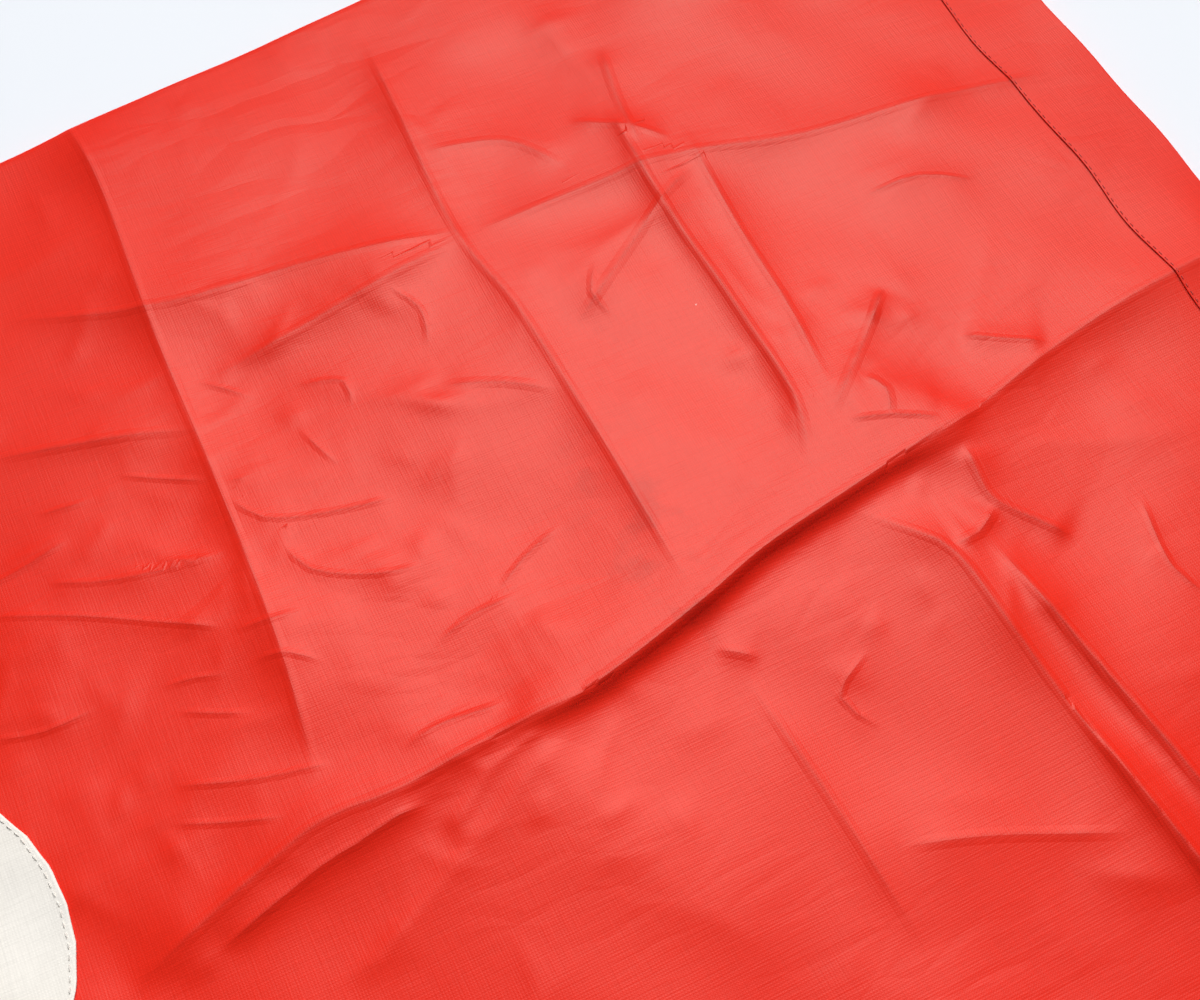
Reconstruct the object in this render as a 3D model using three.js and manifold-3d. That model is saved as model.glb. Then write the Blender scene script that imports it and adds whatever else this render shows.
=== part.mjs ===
// Carp streamer (koinobori) of red cotton, lying flat on its left side as it is laid out to be folded.
// Millimetres. +X runs from the mouth to the tail, +Y from the back to the belly, +Z up, so the right
// side of the fish faces up. The origin is the middle of the underside.
import * as THREE from 'three';
import { mergeVertices } from 'three/addons/utils/BufferGeometryUtils.js';
import Module from 'manifold-3d';

const wasm = await Module();
wasm.setup();

// Cloth lengths that the tube is sewn from, from the mouth to the tail
const HEAD_LENGTH = 1000;
const BODY_LENGTH = 1100; // ends at the storage fold of the body
const REAR_LENGTH = 1100; // ends at the storage fold of the tail
const TAIL_LENGTH = 800; // tail root to the tips
const SEAM_GAP = 0.6; // between two panels that meet at a seam

// Heights of the flattened tube
const MOUTH_FLAT = 880; // half of the mouth's circumference
const TAIL_ROOT_FLAT = 260;
const HEAD_SLOPE = 0.13; // how fast the back and belly edges close in behind the mouth, mm per mm

// Layers: three a side in the mouth hem, and every layer is one step above the last
const CLOTH = 0.5; // one layer with its seam allowances
const GAP = 0.3; // air between pieces that touch
const LAYERS = 6;
const OUTER = 0;
const PANEL = 1;
const INNER = 2;

// Hoop in the mouth hem
const HOOP_WIDTH = 12;
const HOOP_INSET = 5; // on both sides of the hoop, to the mouth edge and to the head panel
const CLIP_LEG = 20; // leg of the spring clip that joins the two hoop halves
const CLIP_INSET = 5; // clip to the seam

// Tapes inside the back and belly seams
const TAPE_WIDTH = 12;
const TAPE_INSET = 2;

// Eyelets for the bridle: radii, and places along the mouth
const EYELET_BORE = 4.5;
const EYELET_BARREL = 5.7;
const EYELET_FLANGE = 9;
const EYELET_MARGIN = 1.7; // cloth between the flange and the edges of the sewn part of the hem
const EYELET_BACK_V = 32; // from the back seam to the eyelet beside it

// Eye and gill cover
const EYE_U = 630;
const EYE_V = 401; // from the back end of the mouth
const EYE_RADIUS = 80;
const PUPIL_RADIUS = 40;
const GILL_INSET = 182; // tips of the gill cover to the end of the head panel
const GILL_HALF = 228;
const GILL_OUTER_BULGE = 112;
const GILL_INNER_BULGE = 67;

// Fins: inset is measured along the body from the front end of the panel that they are sewn to
const FIN_GAP = 0.6;
const PECTORAL = { inset: 40, v: 30, root: 150, reach: 250 };
const DORSAL = { inset: 180, rearInset: 160, reach: 120 };
const PELVIC = { inset: 500, root: 200, reach: 130 };
const ANAL = { inset: 420, root: 220, reach: 110 };
const TAIL_TIP_HALF = 310;
const TAIL_TIP_ROUND = 90; // length of the rounded tip of a tail lobe
const TAIL_FORK_DEPTH = 300; // tips to the bottom of the fork

// Scales: rows of rounded scales, each row shifted by half a scale
const ROWS_PER_PANEL = 4;
const SCALE_WIDTH = 88; // nearly: each row fits a whole number of scales
const SCALE_BULGE = 34;
const SCALE_SEAM_MARGIN = 20; // rows to the back, belly and cross seams
const PECTORAL_MARGIN = 40; // pectoral fin to the first row

// Places that follow from the sizes above, measured from the mouth
const BODY_END = HEAD_LENGTH + BODY_LENGTH;
const TAIL_ROOT = BODY_END + REAR_LENGTH;
const LENGTH = TAIL_ROOT + TAIL_LENGTH;
const STEP = CLOTH + GAP;
const CHANNEL_WIDTH = HOOP_WIDTH + 2 * HOOP_INSET; // the hem in front of the head panel
const SEWN_WIDTH = 2 * (EYELET_FLANGE + GAP + EYELET_MARGIN); // the hem over the head panel
const HEM_WIDTH = CHANNEL_WIDTH + SEWN_WIDTH;
const EYELET_U = CHANNEL_WIDTH + SEWN_WIDTH / 2;
const EYELET_SIDE_V = (2 * MOUTH_FLAT) / 3; // a third of the way round the mouth
const SCALES_START = HEAD_LENGTH + PECTORAL.inset + PECTORAL.reach + PECTORAL_MARGIN;
const REAR_SCALES_START = BODY_END + SCALE_SEAM_MARGIN;
const ROW_LENGTH = (BODY_END - SCALE_SEAM_MARGIN - SCALES_START) / ROWS_PER_PANEL;

const RIGHT = 'right';
const LEFT = 'left';
const SIDES = [RIGHT, LEFT];
const BACK = -1;
const BELLY = 1;

const cloth = (color) => new THREE.MeshStandardMaterial({ color, roughness: 0.9, metalness: 0 });
const metal = (color, roughness) => new THREE.MeshStandardMaterial({ color, roughness, metalness: 1 });
const materials = {
  red: () => cloth(0xdc2a1c),
  deepRed: () => cloth(0xb81d14),
  white: () => cloth(0xd8d1c7),
  black: () => cloth(0x1d1b1b),
  tape: () => cloth(0xe6decf),
  steel: () => metal(0x8c8f92, 0.35),
  brass: () => metal(0xb9953f, 0.3),
};

const group = new THREE.Group();

function addMesh(name, geometry, material) {
  const mesh = new THREE.Mesh(geometry, material);
  mesh.name = name;
  group.add(mesh);
  return mesh;
}

// Underside of a layer on one side of the fish
function layerZ(side, layer) {
  const index = side === LEFT ? layer : LAYERS - 1 - layer;
  return index * STEP;
}

// Distance behind the mouth to X
const toX = (u) => u - LENGTH / 2;

// Half height of the flattened tube: straight behind the mouth, then easing towards the tail root
function halfHeight(u) {
  const easing = (TAIL_ROOT_FLAT / 2 - MOUTH_FLAT / 2 + HEAD_SLOPE * TAIL_ROOT) / TAIL_ROOT ** 2;
  return MOUTH_FLAT / 2 - HEAD_SLOPE * u + easing * u * u;
}

// Points along one long edge of the tube, inset from the seam
function edge(u0, u1, way, inset = 0, steps = 10) {
  const points = [];
  for (let i = 0; i <= steps; i += 1) {
    const u = u0 + ((u1 - u0) * i) / steps;
    points.push(new THREE.Vector2(toX(u), way * (halfHeight(u) - inset)));
  }
  return points;
}

const circle = (x, y, radius, steps) => {
  const curve = new THREE.EllipseCurve(x, y, radius, radius, 0, 2 * Math.PI);
  return curve.getPoints(steps).slice(0, -1);
};

function plateGeometry(outline, z, thickness, holes = []) {
  const shape = new THREE.Shape(outline);
  holes.forEach((points) => shape.holes.push(new THREE.Path(points)));
  const geometry = new THREE.ExtrudeGeometry(shape, { depth: thickness, bevelEnabled: false });
  geometry.translate(0, 0, z);
  return geometry;
}

function plate(name, outline, side, layer, material, holes) {
  return addMesh(name, plateGeometry(outline, layerZ(side, layer), CLOTH, holes), material);
}

function toSolid(geometry) {
  const bare = geometry.clone();
  bare.deleteAttribute('normal');
  bare.deleteAttribute('uv');
  const merged = mergeVertices(bare);
  const vertProperties = new Float32Array(merged.attributes.position.array);
  const triVerts = new Uint32Array(merged.index.array);
  return new wasm.Manifold(new wasm.Mesh({ numProp: 3, vertProperties, triVerts }));
}

function toGeometry(solid) {
  const { vertProperties, triVerts } = solid.getMesh();
  const geometry = new THREE.BufferGeometry();
  geometry.setAttribute('position', new THREE.BufferAttribute(vertProperties, 3));
  geometry.setIndex(new THREE.BufferAttribute(triVerts, 1));
  return geometry;
}

// A strip across the fish between two stations, with ends that follow the seams
const band = (u0, u1, inset) => [
  ...edge(u0, u1, BACK, inset, 1),
  ...edge(u0, u1, BELLY, inset, 1).reverse(),
];

// A strip across the fish with square ends
const squareBand = (u0, u1, half) => [
  new THREE.Vector2(toX(u0), -half),
  new THREE.Vector2(toX(u1), -half),
  new THREE.Vector2(toX(u1), half),
  new THREE.Vector2(toX(u0), half),
];

// Outside of the spring clips at the two ends of the hoop, measured from the middle
const clipOutside = halfHeight(HOOP_INSET + HOOP_WIDTH) - CLIP_INSET;

// Two eyelets a side: one beside the back seam, one a third of the way round. The two sides line up.
const EYELETS = { back: EYELET_BACK_V, side: EYELET_SIDE_V };
const eyeletY = (place) => EYELETS[place] - MOUTH_FLAT / 2;
const eyeletHoles = (radius) =>
  Object.keys(EYELETS).map((place) => circle(toX(EYELET_U), eyeletY(place), radius, 20));

// Panels: head, body and rear on each side
function addPanels(side) {
  const spans = {
    head_panel: [CHANNEL_WIDTH, HEAD_LENGTH - SEAM_GAP / 2],
    body_panel: [HEAD_LENGTH + SEAM_GAP / 2, BODY_END - SEAM_GAP / 2],
    rear_panel: [BODY_END + SEAM_GAP / 2, TAIL_ROOT - SEAM_GAP / 2],
  };
  Object.entries(spans).forEach(([name, [u0, u1]]) => {
    const outline = [...edge(u0, u1, BACK), ...edge(u0, u1, BELLY).reverse()];
    const holes = name === 'head_panel' ? eyeletHoles(EYELET_BARREL + GAP) : [];
    plate(`${name}_${side}`, outline, side, PANEL, materials.red(), holes);
  });
}

// The mouth hem is one folded strip: an outer layer, the fold at the mouth edge and an inner layer
function addHem(side) {
  const holes = eyeletHoles(EYELET_FLANGE + GAP);
  const innerHalf = clipOutside - CLOTH - GAP;
  const outer = plateGeometry(band(0, HEM_WIDTH, 0), layerZ(side, OUTER), CLOTH, holes);
  const inner = plateGeometry(squareBand(0, HEM_WIDTH, innerHalf), layerZ(side, INNER), CLOTH, holes);
  const foldZ = Math.min(layerZ(side, OUTER), layerZ(side, INNER));
  const fold = plateGeometry(squareBand(0, CLOTH, innerHalf), foldZ, 2 * STEP + CLOTH);
  const solid = toSolid(outer).add(toSolid(inner)).add(toSolid(fold));
  addMesh(`mouth_hem_${side}`, toGeometry(solid), materials.red());
}

// Half of the spring steel hoop in the channel of each hem
function addHoopBand(side) {
  const half = clipOutside - CLIP_LEG - GAP;
  const outline = squareBand(HOOP_INSET, HOOP_INSET + HOOP_WIDTH, half);
  plate(`hoop_band_${side}`, outline, side, PANEL, materials.steel());
}

// U-shaped spring clip that joins the two hoop halves round the seam
function addHoopClip(name, way) {
  const seam = clipOutside;
  const low = layerZ(LEFT, PANEL);
  const high = layerZ(RIGHT, PANEL) + CLOTH;
  const profile = [
    [seam - CLIP_LEG, low],
    [seam, low],
    [seam, high],
    [seam - CLIP_LEG, high],
    [seam - CLIP_LEG, high - CLOTH],
    [seam - CLOTH, high - CLOTH],
    [seam - CLOTH, low + CLOTH],
    [seam - CLIP_LEG, low + CLOTH],
  ];
  const shape = new THREE.Shape(profile.map(([y, z]) => new THREE.Vector2(way * y, z)));
  const geometry = new THREE.ExtrudeGeometry(shape, { depth: HOOP_WIDTH, bevelEnabled: false });
  // The profile is drawn in Y and Z, so X becomes Y, Y becomes Z and the depth becomes X
  geometry.applyMatrix4(new THREE.Matrix4().set(0, 0, 1, 0, 1, 0, 0, 0, 0, 1, 0, 0, 0, 0, 0, 1));
  geometry.translate(toX(HOOP_INSET), 0, 0);
  addMesh(name, geometry, materials.steel());
}

// Cotton tapes inside the back and belly seams, which carry the pull from the mouth to the tail
function addTapes() {
  const spans = {
    front: [HEM_WIDTH + GAP, BODY_END - SEAM_GAP / 2],
    rear: [BODY_END + SEAM_GAP / 2, TAIL_ROOT - SEAM_GAP / 2],
  };
  Object.entries({ back: BACK, belly: BELLY }).forEach(([seam, way]) => {
    Object.entries(spans).forEach(([part, [u0, u1]]) => {
      const outside = edge(u0, u1, way, TAPE_INSET);
      const inside = edge(u0, u1, way, TAPE_INSET + TAPE_WIDTH).reverse();
      const z = layerZ(LEFT, INNER);
      const geometry = plateGeometry([...outside, ...inside], z, STEP + CLOTH);
      addMesh(`${seam}_tape_${part}`, geometry, materials.tape());
    });
  });
}

// Eyelet with its flange outside, and the washer that it is rolled over inside
function addEyelet(place, side) {
  const flangeZ = layerZ(side, OUTER);
  const washerZ = layerZ(side, INNER);
  const x = toX(EYELET_U);
  const y = eyeletY(place);
  const bore = circle(x, y, EYELET_BORE, 20);
  const flange = plateGeometry(circle(x, y, EYELET_FLANGE, 20), flangeZ, CLOTH, [bore]);
  const barrelZ = Math.min(flangeZ, washerZ);
  const barrel = plateGeometry(circle(x, y, EYELET_BARREL, 20), barrelZ, 2 * STEP + CLOTH, [bore]);
  const eyelet = toSolid(flange).add(toSolid(barrel));
  addMesh(`eyelet_${place}_${side}`, toGeometry(eyelet), materials.brass());
  const washerHole = circle(x, y, EYELET_BARREL + GAP, 20);
  const washer = plateGeometry(circle(x, y, EYELET_FLANGE, 20), washerZ, CLOTH, [washerHole]);
  addMesh(`eyelet_washer_${place}_${side}`, washer, materials.brass());
}

function addEye(side) {
  const x = toX(EYE_U);
  const y = EYE_V - MOUTH_FLAT / 2;
  const ground = circle(x, y, EYE_RADIUS, 48);
  const hole = circle(x, y, PUPIL_RADIUS + GAP, 32);
  plate(`eye_white_${side}`, ground, side, OUTER, materials.white(), [hole]);
  plate(`eye_pupil_${side}`, circle(x, y, PUPIL_RADIUS, 32), side, OUTER, materials.black());
}

// Points of a circular arc that stands on the chord from (u, -half) to (u, half) and bulges to the tail
function bulgedArc(u, half, bulge, steps) {
  const radius = (half ** 2 + bulge ** 2) / (2 * bulge);
  const reach = Math.asin(half / radius);
  const points = [];
  for (let i = 0; i <= steps; i += 1) {
    const angle = -reach + (2 * reach * i) / steps;
    const x = toX(u) + bulge - radius + radius * Math.cos(angle);
    points.push(new THREE.Vector2(x, radius * Math.sin(angle)));
  }
  return points;
}

function addGillCover(side) {
  const tips = HEAD_LENGTH - GILL_INSET;
  const outer = bulgedArc(tips, GILL_HALF, GILL_OUTER_BULGE, 20);
  const inner = bulgedArc(tips, GILL_HALF, GILL_INNER_BULGE, 20).slice(1, -1).reverse();
  plate(`gill_cover_${side}`, [...outer, ...inner], side, OUTER, materials.white());
}

// Rear edge of a scale row: half ellipses side by side, and odd rows start in the middle of a scale
function scaleEdge(u, row) {
  const half = halfHeight(u) - SCALE_SEAM_MARGIN;
  const count = Math.round((2 * half) / SCALE_WIDTH);
  const perScale = 6;
  const shift = row % 2 ? 0.5 : 0;
  const points = [];
  for (let i = 0; i <= count * perScale; i += 1) {
    const across = i / perScale;
    const phase = (across + shift) % 1;
    const bulge = SCALE_BULGE * Math.sqrt(1 - (2 * phase - 1) ** 2);
    points.push(new THREE.Vector2(toX(u) + bulge - SCALE_BULGE, half * ((2 * across) / count - 1)));
  }
  return points;
}

function addScales(side) {
  [SCALES_START, REAR_SCALES_START].forEach((start, panel) => {
    const half = halfHeight(start) - SCALE_SEAM_MARGIN;
    let front = [new THREE.Vector2(toX(start), -half), new THREE.Vector2(toX(start), half)];
    for (let i = 0; i < ROWS_PER_PANEL; i += 1) {
      const row = panel * ROWS_PER_PANEL + i;
      const rear = scaleEdge(start + (i + 1) * ROW_LENGTH, row);
      const outline = [...front, ...rear.slice().reverse()];
      plate(`scale_row_${row + 1}_${side}`, outline, side, OUTER, materials.deepRed());
      front = rear.map((p) => new THREE.Vector2(p.x + 2 * GAP, p.y));
    }
  });
}

// Outline of a fin: s runs along the sewn root, d away from it
function finOutline(root, reach) {
  const shape = new THREE.Shape();
  shape.moveTo(0, 0);
  shape.quadraticCurveTo(root * 0.1, reach * 0.75, root * 0.45, reach);
  shape.quadraticCurveTo(root * 0.75, reach * 1.02, root * 0.95, reach * 0.72);
  shape.quadraticCurveTo(root * 0.88, reach * 0.3, root, 0);
  return shape.getPoints(8);
}

// A flap on the side of the body, sewn along its front edge
function addPectoral(side) {
  const x = toX(HEAD_LENGTH + PECTORAL.inset);
  const y0 = PECTORAL.v - PECTORAL.root / 2;
  const outline = finOutline(PECTORAL.root, PECTORAL.reach).map(
    ({ x: s, y: d }) => new THREE.Vector2(x + d, y0 + s),
  );
  plate(`pectoral_fin_${side}`, outline, side, OUTER, materials.white());
}

// A fin sewn into the back or belly seam, which lies beside the tube
function addSeamFin(name, u, root, reach, way, layer) {
  const start = edge(u, u + root, way, -FIN_GAP, 1);
  const along = start[1].clone().sub(start[0]).normalize();
  const out = new THREE.Vector2(-along.y * way, along.x * way);
  const outline = finOutline(root, reach).map(({ x: s, y: d }) =>
    start[0].clone().addScaledVector(along, s).addScaledVector(out, d),
  );
  plate(name, outline, LEFT, layer, materials.white());
}

// One lobe of the forked tail, from the tail root to its tip
function addTailLobe(name, way, side) {
  const root = TAIL_ROOT + SEAM_GAP / 2;
  const half = halfHeight(root);
  const middle = SEAM_GAP / 2;
  const shape = new THREE.Shape();
  shape.moveTo(toX(root), middle);
  shape.lineTo(toX(root), half);
  const tip = LENGTH - TAIL_TIP_ROUND;
  shape.quadraticCurveTo(toX((root + tip) / 2), half * 1.05, toX(tip), TAIL_TIP_HALF);
  shape.quadraticCurveTo(toX(LENGTH), TAIL_TIP_HALF * 1.03, toX(LENGTH), TAIL_TIP_HALF * 0.86);
  const fork = LENGTH - TAIL_FORK_DEPTH;
  shape.quadraticCurveTo(toX(tip), TAIL_TIP_HALF * 0.35, toX(fork), middle);
  const outline = shape.getPoints(10).map((p) => new THREE.Vector2(p.x, way * p.y));
  plate(`${name}_${side}`, outline, side, PANEL, materials.red());
}

SIDES.forEach((side) => {
  addPanels(side);
  addHem(side);
  addHoopBand(side);
  Object.keys(EYELETS).forEach((place) => addEyelet(place, side));
  addEye(side);
  addGillCover(side);
  addScales(side);
  addPectoral(side);
  addTailLobe('tail_lobe_back', BACK, side);
  addTailLobe('tail_lobe_belly', BELLY, side);
});
addHoopClip('hoop_clip_back', BACK);
addHoopClip('hoop_clip_belly', BELLY);
addTapes();
const dorsalRoot = BODY_LENGTH - DORSAL.inset - DORSAL.rearInset;
addSeamFin('dorsal_fin', HEAD_LENGTH + DORSAL.inset, dorsalRoot, DORSAL.reach, BACK, OUTER);
addSeamFin('anal_fin', BODY_END + ANAL.inset, ANAL.root, ANAL.reach, BELLY, OUTER);
const pelvicU = HEAD_LENGTH + PELVIC.inset;
addSeamFin('pelvic_fin_left', pelvicU, PELVIC.root, PELVIC.reach, BELLY, OUTER);
addSeamFin('pelvic_fin_right', pelvicU, PELVIC.root, PELVIC.reach, BELLY, PANEL);

export default group;
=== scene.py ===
"""Carp streamer of red cotton, laid flat on its left side, dressed round its CAD frame.

Lengths are metres in the frame's axes: +X from the mouth to the tail, +Y from the back to the belly,
+Z up. The lie of the cloth (its creases) is given in millimetres from the back end of the mouth.
"""

import math

import bpy
import numpy as np
from bpy.props import FloatProperty, FloatVectorProperty, PointerProperty
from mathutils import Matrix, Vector


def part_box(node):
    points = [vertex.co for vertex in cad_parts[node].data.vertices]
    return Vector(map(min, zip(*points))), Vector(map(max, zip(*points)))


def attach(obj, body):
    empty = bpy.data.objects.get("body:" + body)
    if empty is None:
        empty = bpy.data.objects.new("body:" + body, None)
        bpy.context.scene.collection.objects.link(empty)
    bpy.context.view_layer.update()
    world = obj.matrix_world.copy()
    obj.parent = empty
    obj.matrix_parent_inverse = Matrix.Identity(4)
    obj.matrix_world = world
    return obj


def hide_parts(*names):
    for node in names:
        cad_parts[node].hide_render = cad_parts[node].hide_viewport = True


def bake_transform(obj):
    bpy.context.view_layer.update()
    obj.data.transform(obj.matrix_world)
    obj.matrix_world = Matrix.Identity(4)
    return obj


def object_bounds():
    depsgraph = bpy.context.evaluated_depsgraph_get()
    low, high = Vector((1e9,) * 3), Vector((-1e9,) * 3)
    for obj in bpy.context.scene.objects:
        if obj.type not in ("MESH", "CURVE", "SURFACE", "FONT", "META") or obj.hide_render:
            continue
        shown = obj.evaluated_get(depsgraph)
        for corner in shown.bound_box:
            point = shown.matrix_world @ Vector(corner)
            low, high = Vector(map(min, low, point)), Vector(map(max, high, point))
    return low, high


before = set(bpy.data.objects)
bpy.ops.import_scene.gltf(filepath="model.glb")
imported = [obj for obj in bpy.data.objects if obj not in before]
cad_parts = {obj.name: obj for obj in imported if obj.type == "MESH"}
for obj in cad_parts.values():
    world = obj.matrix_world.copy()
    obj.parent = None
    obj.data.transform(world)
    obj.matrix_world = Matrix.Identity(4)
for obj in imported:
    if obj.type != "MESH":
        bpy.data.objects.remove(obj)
CAD_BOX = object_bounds()

bl_info = {
    "name": "Carp streamer",
    "version": (1, 0, 0),
    "blender": (4, 5, 0),
    "location": "3D View > Sidebar > Streamer",
    "description": "Builds the cloth, sewing and metalwork of a carp streamer round its frame",
    "category": "Object",
}

# ---------------------------------------------------------------- sizes taken from the frame

MM = 0.001
RIGHT, LEFT = "right", "left"
SIDES = (RIGHT, LEFT)
WAY = {RIGHT: 1, LEFT: -1}  # which way a side's outer face looks along Z
BACK, BELLY = -1, 1

MOUTH_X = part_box("mouth_hem_right")[0].x
HEM_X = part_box("mouth_hem_right")[1].x
MOUTH_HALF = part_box("mouth_hem_right")[1].y
CHANNEL_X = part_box("head_panel_right")[0].x
HEAD_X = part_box("head_panel_right")[1].x
BODY_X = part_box("body_panel_right")[1].x
ROOT_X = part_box("rear_panel_right")[1].x
SEAM_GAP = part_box("body_panel_right")[0].x - HEAD_X
ROOT_HALF = 0.130
HEAD_SLOPE = 0.13  # how fast the back and belly close in behind the mouth
SEAM_Z = (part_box("head_panel_left")[1].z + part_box("head_panel_right")[0].z) / 2
EASING = (ROOT_HALF - MOUTH_HALF + HEAD_SLOPE * (ROOT_X - MOUTH_X)) / (ROOT_X - MOUTH_X) ** 2


def half_height(x):
    """Half height of the flattened tube."""
    u = x - MOUTH_X
    return MOUTH_HALF - HEAD_SLOPE * u + EASING * u * u


def smoothstep(low, high, value):
    t = np.clip((value - low) / (high - low), 0, 1)
    return t * t * (3 - 2 * t)


# ---------------------------------------------------------------- the lie of the cloth

def smooth_line(points, step=10.0):
    """A smooth curve through the points, as short straight steps."""
    p = np.array(points, float)
    p = np.vstack([2 * p[0] - p[1], p, 2 * p[-1] - p[-2]])
    parts = []
    for a, b, c, d in zip(p, p[1:], p[2:], p[3:]):
        count = max(1, int(np.ceil(np.linalg.norm(c - b) / step)))
        t = (np.arange(count) / count)[:, None]
        cubic = (-a + 3 * b - 3 * c + d) * t**3
        parts.append(0.5 * (2 * b + (c - a) * t + (2 * a - 5 * b + 4 * c - d) * t**2 + cubic))
    return np.vstack(parts + [p[-2:-1]])


class Crease:
    """A ridge in the cloth: a line with a flank on each side, seen along the way it is drawn."""

    def __init__(self, family, points, height, left, right, crisp=1.0, rounding=1.2, taper=40.0):
        self.family, self.line = family, smooth_line(points)
        self.height, self.left, self.right = height, left, right
        self.crisp, self.rounding, self.taper = crisp, rounding, taper
        margin = 4 * max(left, right)
        self.low, self.high = self.line.min(0) - margin, self.line.max(0) + margin

    def near(self, points):
        return np.all((points > self.low) & (points < self.high), axis=1)

    def follow(self, points):
        """Distance across the line, positive on its left, and how far it is to the nearer end."""
        best, side = np.full(len(points), 1e9), np.ones(len(points))
        along, length = np.zeros(len(points)), 0.0
        for a, b in zip(self.line, self.line[1:]):
            d = b - a
            size = float(np.linalg.norm(d))
            t = np.clip((points - a) @ d / size**2, 0, 1)
            off = points - a - t[:, None] * d
            gap = np.linalg.norm(off, axis=1)
            closer = gap < best
            best = np.where(closer, gap, best)
            side = np.where(closer, np.sign(d[0] * off[:, 1] - d[1] * off[:, 0]), side)
            along = np.where(closer, length + t * size, along)
            length += size
        return best * side, np.minimum(along, length - along)

    def profile(self, across):
        flank = np.where(across > 0, self.left, self.right)
        return np.exp(-(np.sqrt(across**2 + self.rounding**2) - self.rounding) / flank)


DOWN, ALONG, FINE, SOFT = "down", "along", "fine", "soft"
LINED = (DOWN, ALONG, FINE)  # the families whose crests show as a fine line

# Storage creases of the head and the folds that cross them: (mm behind the mouth, mm below the back).
# Lines drawn down have the mouth side on their left; lines drawn along have the belly side there.
LARGE_FOLD = [(150, 366), (229, 380), (267, 387), (300, 397), (353, 410), (392, 412)]
HEAD_CREASES = [
    Crease(DOWN, [(446, 40), (441, 92), (445, 182), (446, 257), (449, 340), (456, 400)], 3.2, 26, 11),
    Crease(DOWN, [(302, 60), (305, 106), (310, 188), (303, 240), (300, 313), (300, 392)], 2.2, 22, 9),
    Crease(DOWN, [(298, 425), (293, 490), (291, 550)], 1.6, 16, 9),
    Crease(DOWN, [(219, 150), (222, 212), (220, 270), (221, 330), (234, 366)], 3.4, 18, 7, 1.2),
    Crease(DOWN, [(194, 178), (198, 243), (200, 290), (207, 340)], 1.8, 12, 7),
    Crease(DOWN, [(228, 384), (212, 403), (201, 421), (199, 455), (196, 500), (191, 560), (184, 640)],
           4.0, 16, 14, 1.2),
    Crease(DOWN, [(196, 490), (193, 535), (187, 590), (180, 650)], 2.2, 9, 2.2, 1.6, 0.8),
    Crease(DOWN, [(186, 418), (183, 440), (179, 476), (174, 520), (170, 560), (162, 620)],
           3.0, 15, 3.0, 1.6, 0.8),
    Crease(DOWN, [(171, 380), (174, 398), (173, 408), (162, 423), (154, 434)], 1.7, 9, 4, 1.2, taper=8),
    Crease(DOWN, [(191, 334), (186, 345), (192, 357)], 1.0, 8, 4, 1.2, taper=6),
    Crease(DOWN, [(159, 298), (166, 304), (174, 313)], 1.0, 8, 4, 1.2, taper=6),
    Crease(ALONG, [(20, 226), (60, 218), (147, 207), (212, 193), (308, 193)], 2.3, 9, 22),
    Crease(ALONG, [(300, 192), (341, 200), (400, 210), (435, 215)], 3.0, 9, 24),
    Crease(ALONG, [(300, 192), (378, 177), (440, 172), (503, 147)], 2.0, 10, 20),
    Crease(ALONG, [(440, 240), (460, 231), (488, 223), (535, 211)], 1.9, 7, 14, 1.3),
    Crease(ALONG, [(-20, 343), (45, 347), (83, 351), (119, 358), (169, 371), (205, 376)], 4.2, 13, 26),
    Crease(ALONG, LARGE_FOLD, 7.4, 2.7, 30, 1.6, 1.1, 50),
    Crease(ALONG, [(345, 410), (390, 411), (431, 415), (459, 414), (488, 422), (540, 440)],
           5.0, 12, 24, 1.2, 1.4, 30),
    Crease(FINE, [(420, 424), (435, 424), (452, 427), (467, 429), (510, 441)], 2.0, 4, 7, 1.4, 0.8, 16),
    Crease(SOFT, [(360, 421), (387, 430), (404, 440), (430, 452), (470, 470)], 1.8, 26, 6, 1.0, 1.2, 24),
    Crease(SOFT, [(373, 416), (387, 419), (398, 422), (410, 430), (424, 436)], 1.0, 5, 3, 1.6, 0.6, 8),
    Crease(FINE, [(173, 367), (190, 357), (208, 351)], 2.0, 5, 10, 1.3, taper=8),
    Crease(ALONG, [(196, 202), (222, 214), (286, 259)], 1.2, 9, 12, taper=20),
    Crease(ALONG, [(158, 298), (185, 322), (214, 347)], 1.4, 8, 10, taper=20),
    Crease(FINE, [(112, 353), (127, 344), (143, 333)], 1.6, 6, 8, 1.2, taper=8),
    Crease(ALONG, [(174, 409), (187, 417), (200, 418)], 1.5, 4, 8, 1.4, taper=8),
    Crease(ALONG, [(305, 284), (325, 270), (349, 260)], 0.8, 7, 9, taper=14),
    Crease(ALONG, [(288, 426), (295, 420), (304, 414)], 0.9, 5, 6, taper=8),
    Crease(ALONG, [(203, 544), (245, 524), (282, 511)], 1.2, 10, 12, taper=20),
    Crease(ALONG, [(205, 118), (212, 150), (217, 184)], 1.2, 6, 8, taper=14),
    Crease(ALONG, [(200, 186), (216, 170), (240, 152)], 1.2, 6, 8, taper=14),
    Crease(ALONG, [(250, 178), (270, 150), (306, 142)], 1.2, 9, 10, taper=16),
]
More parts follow.
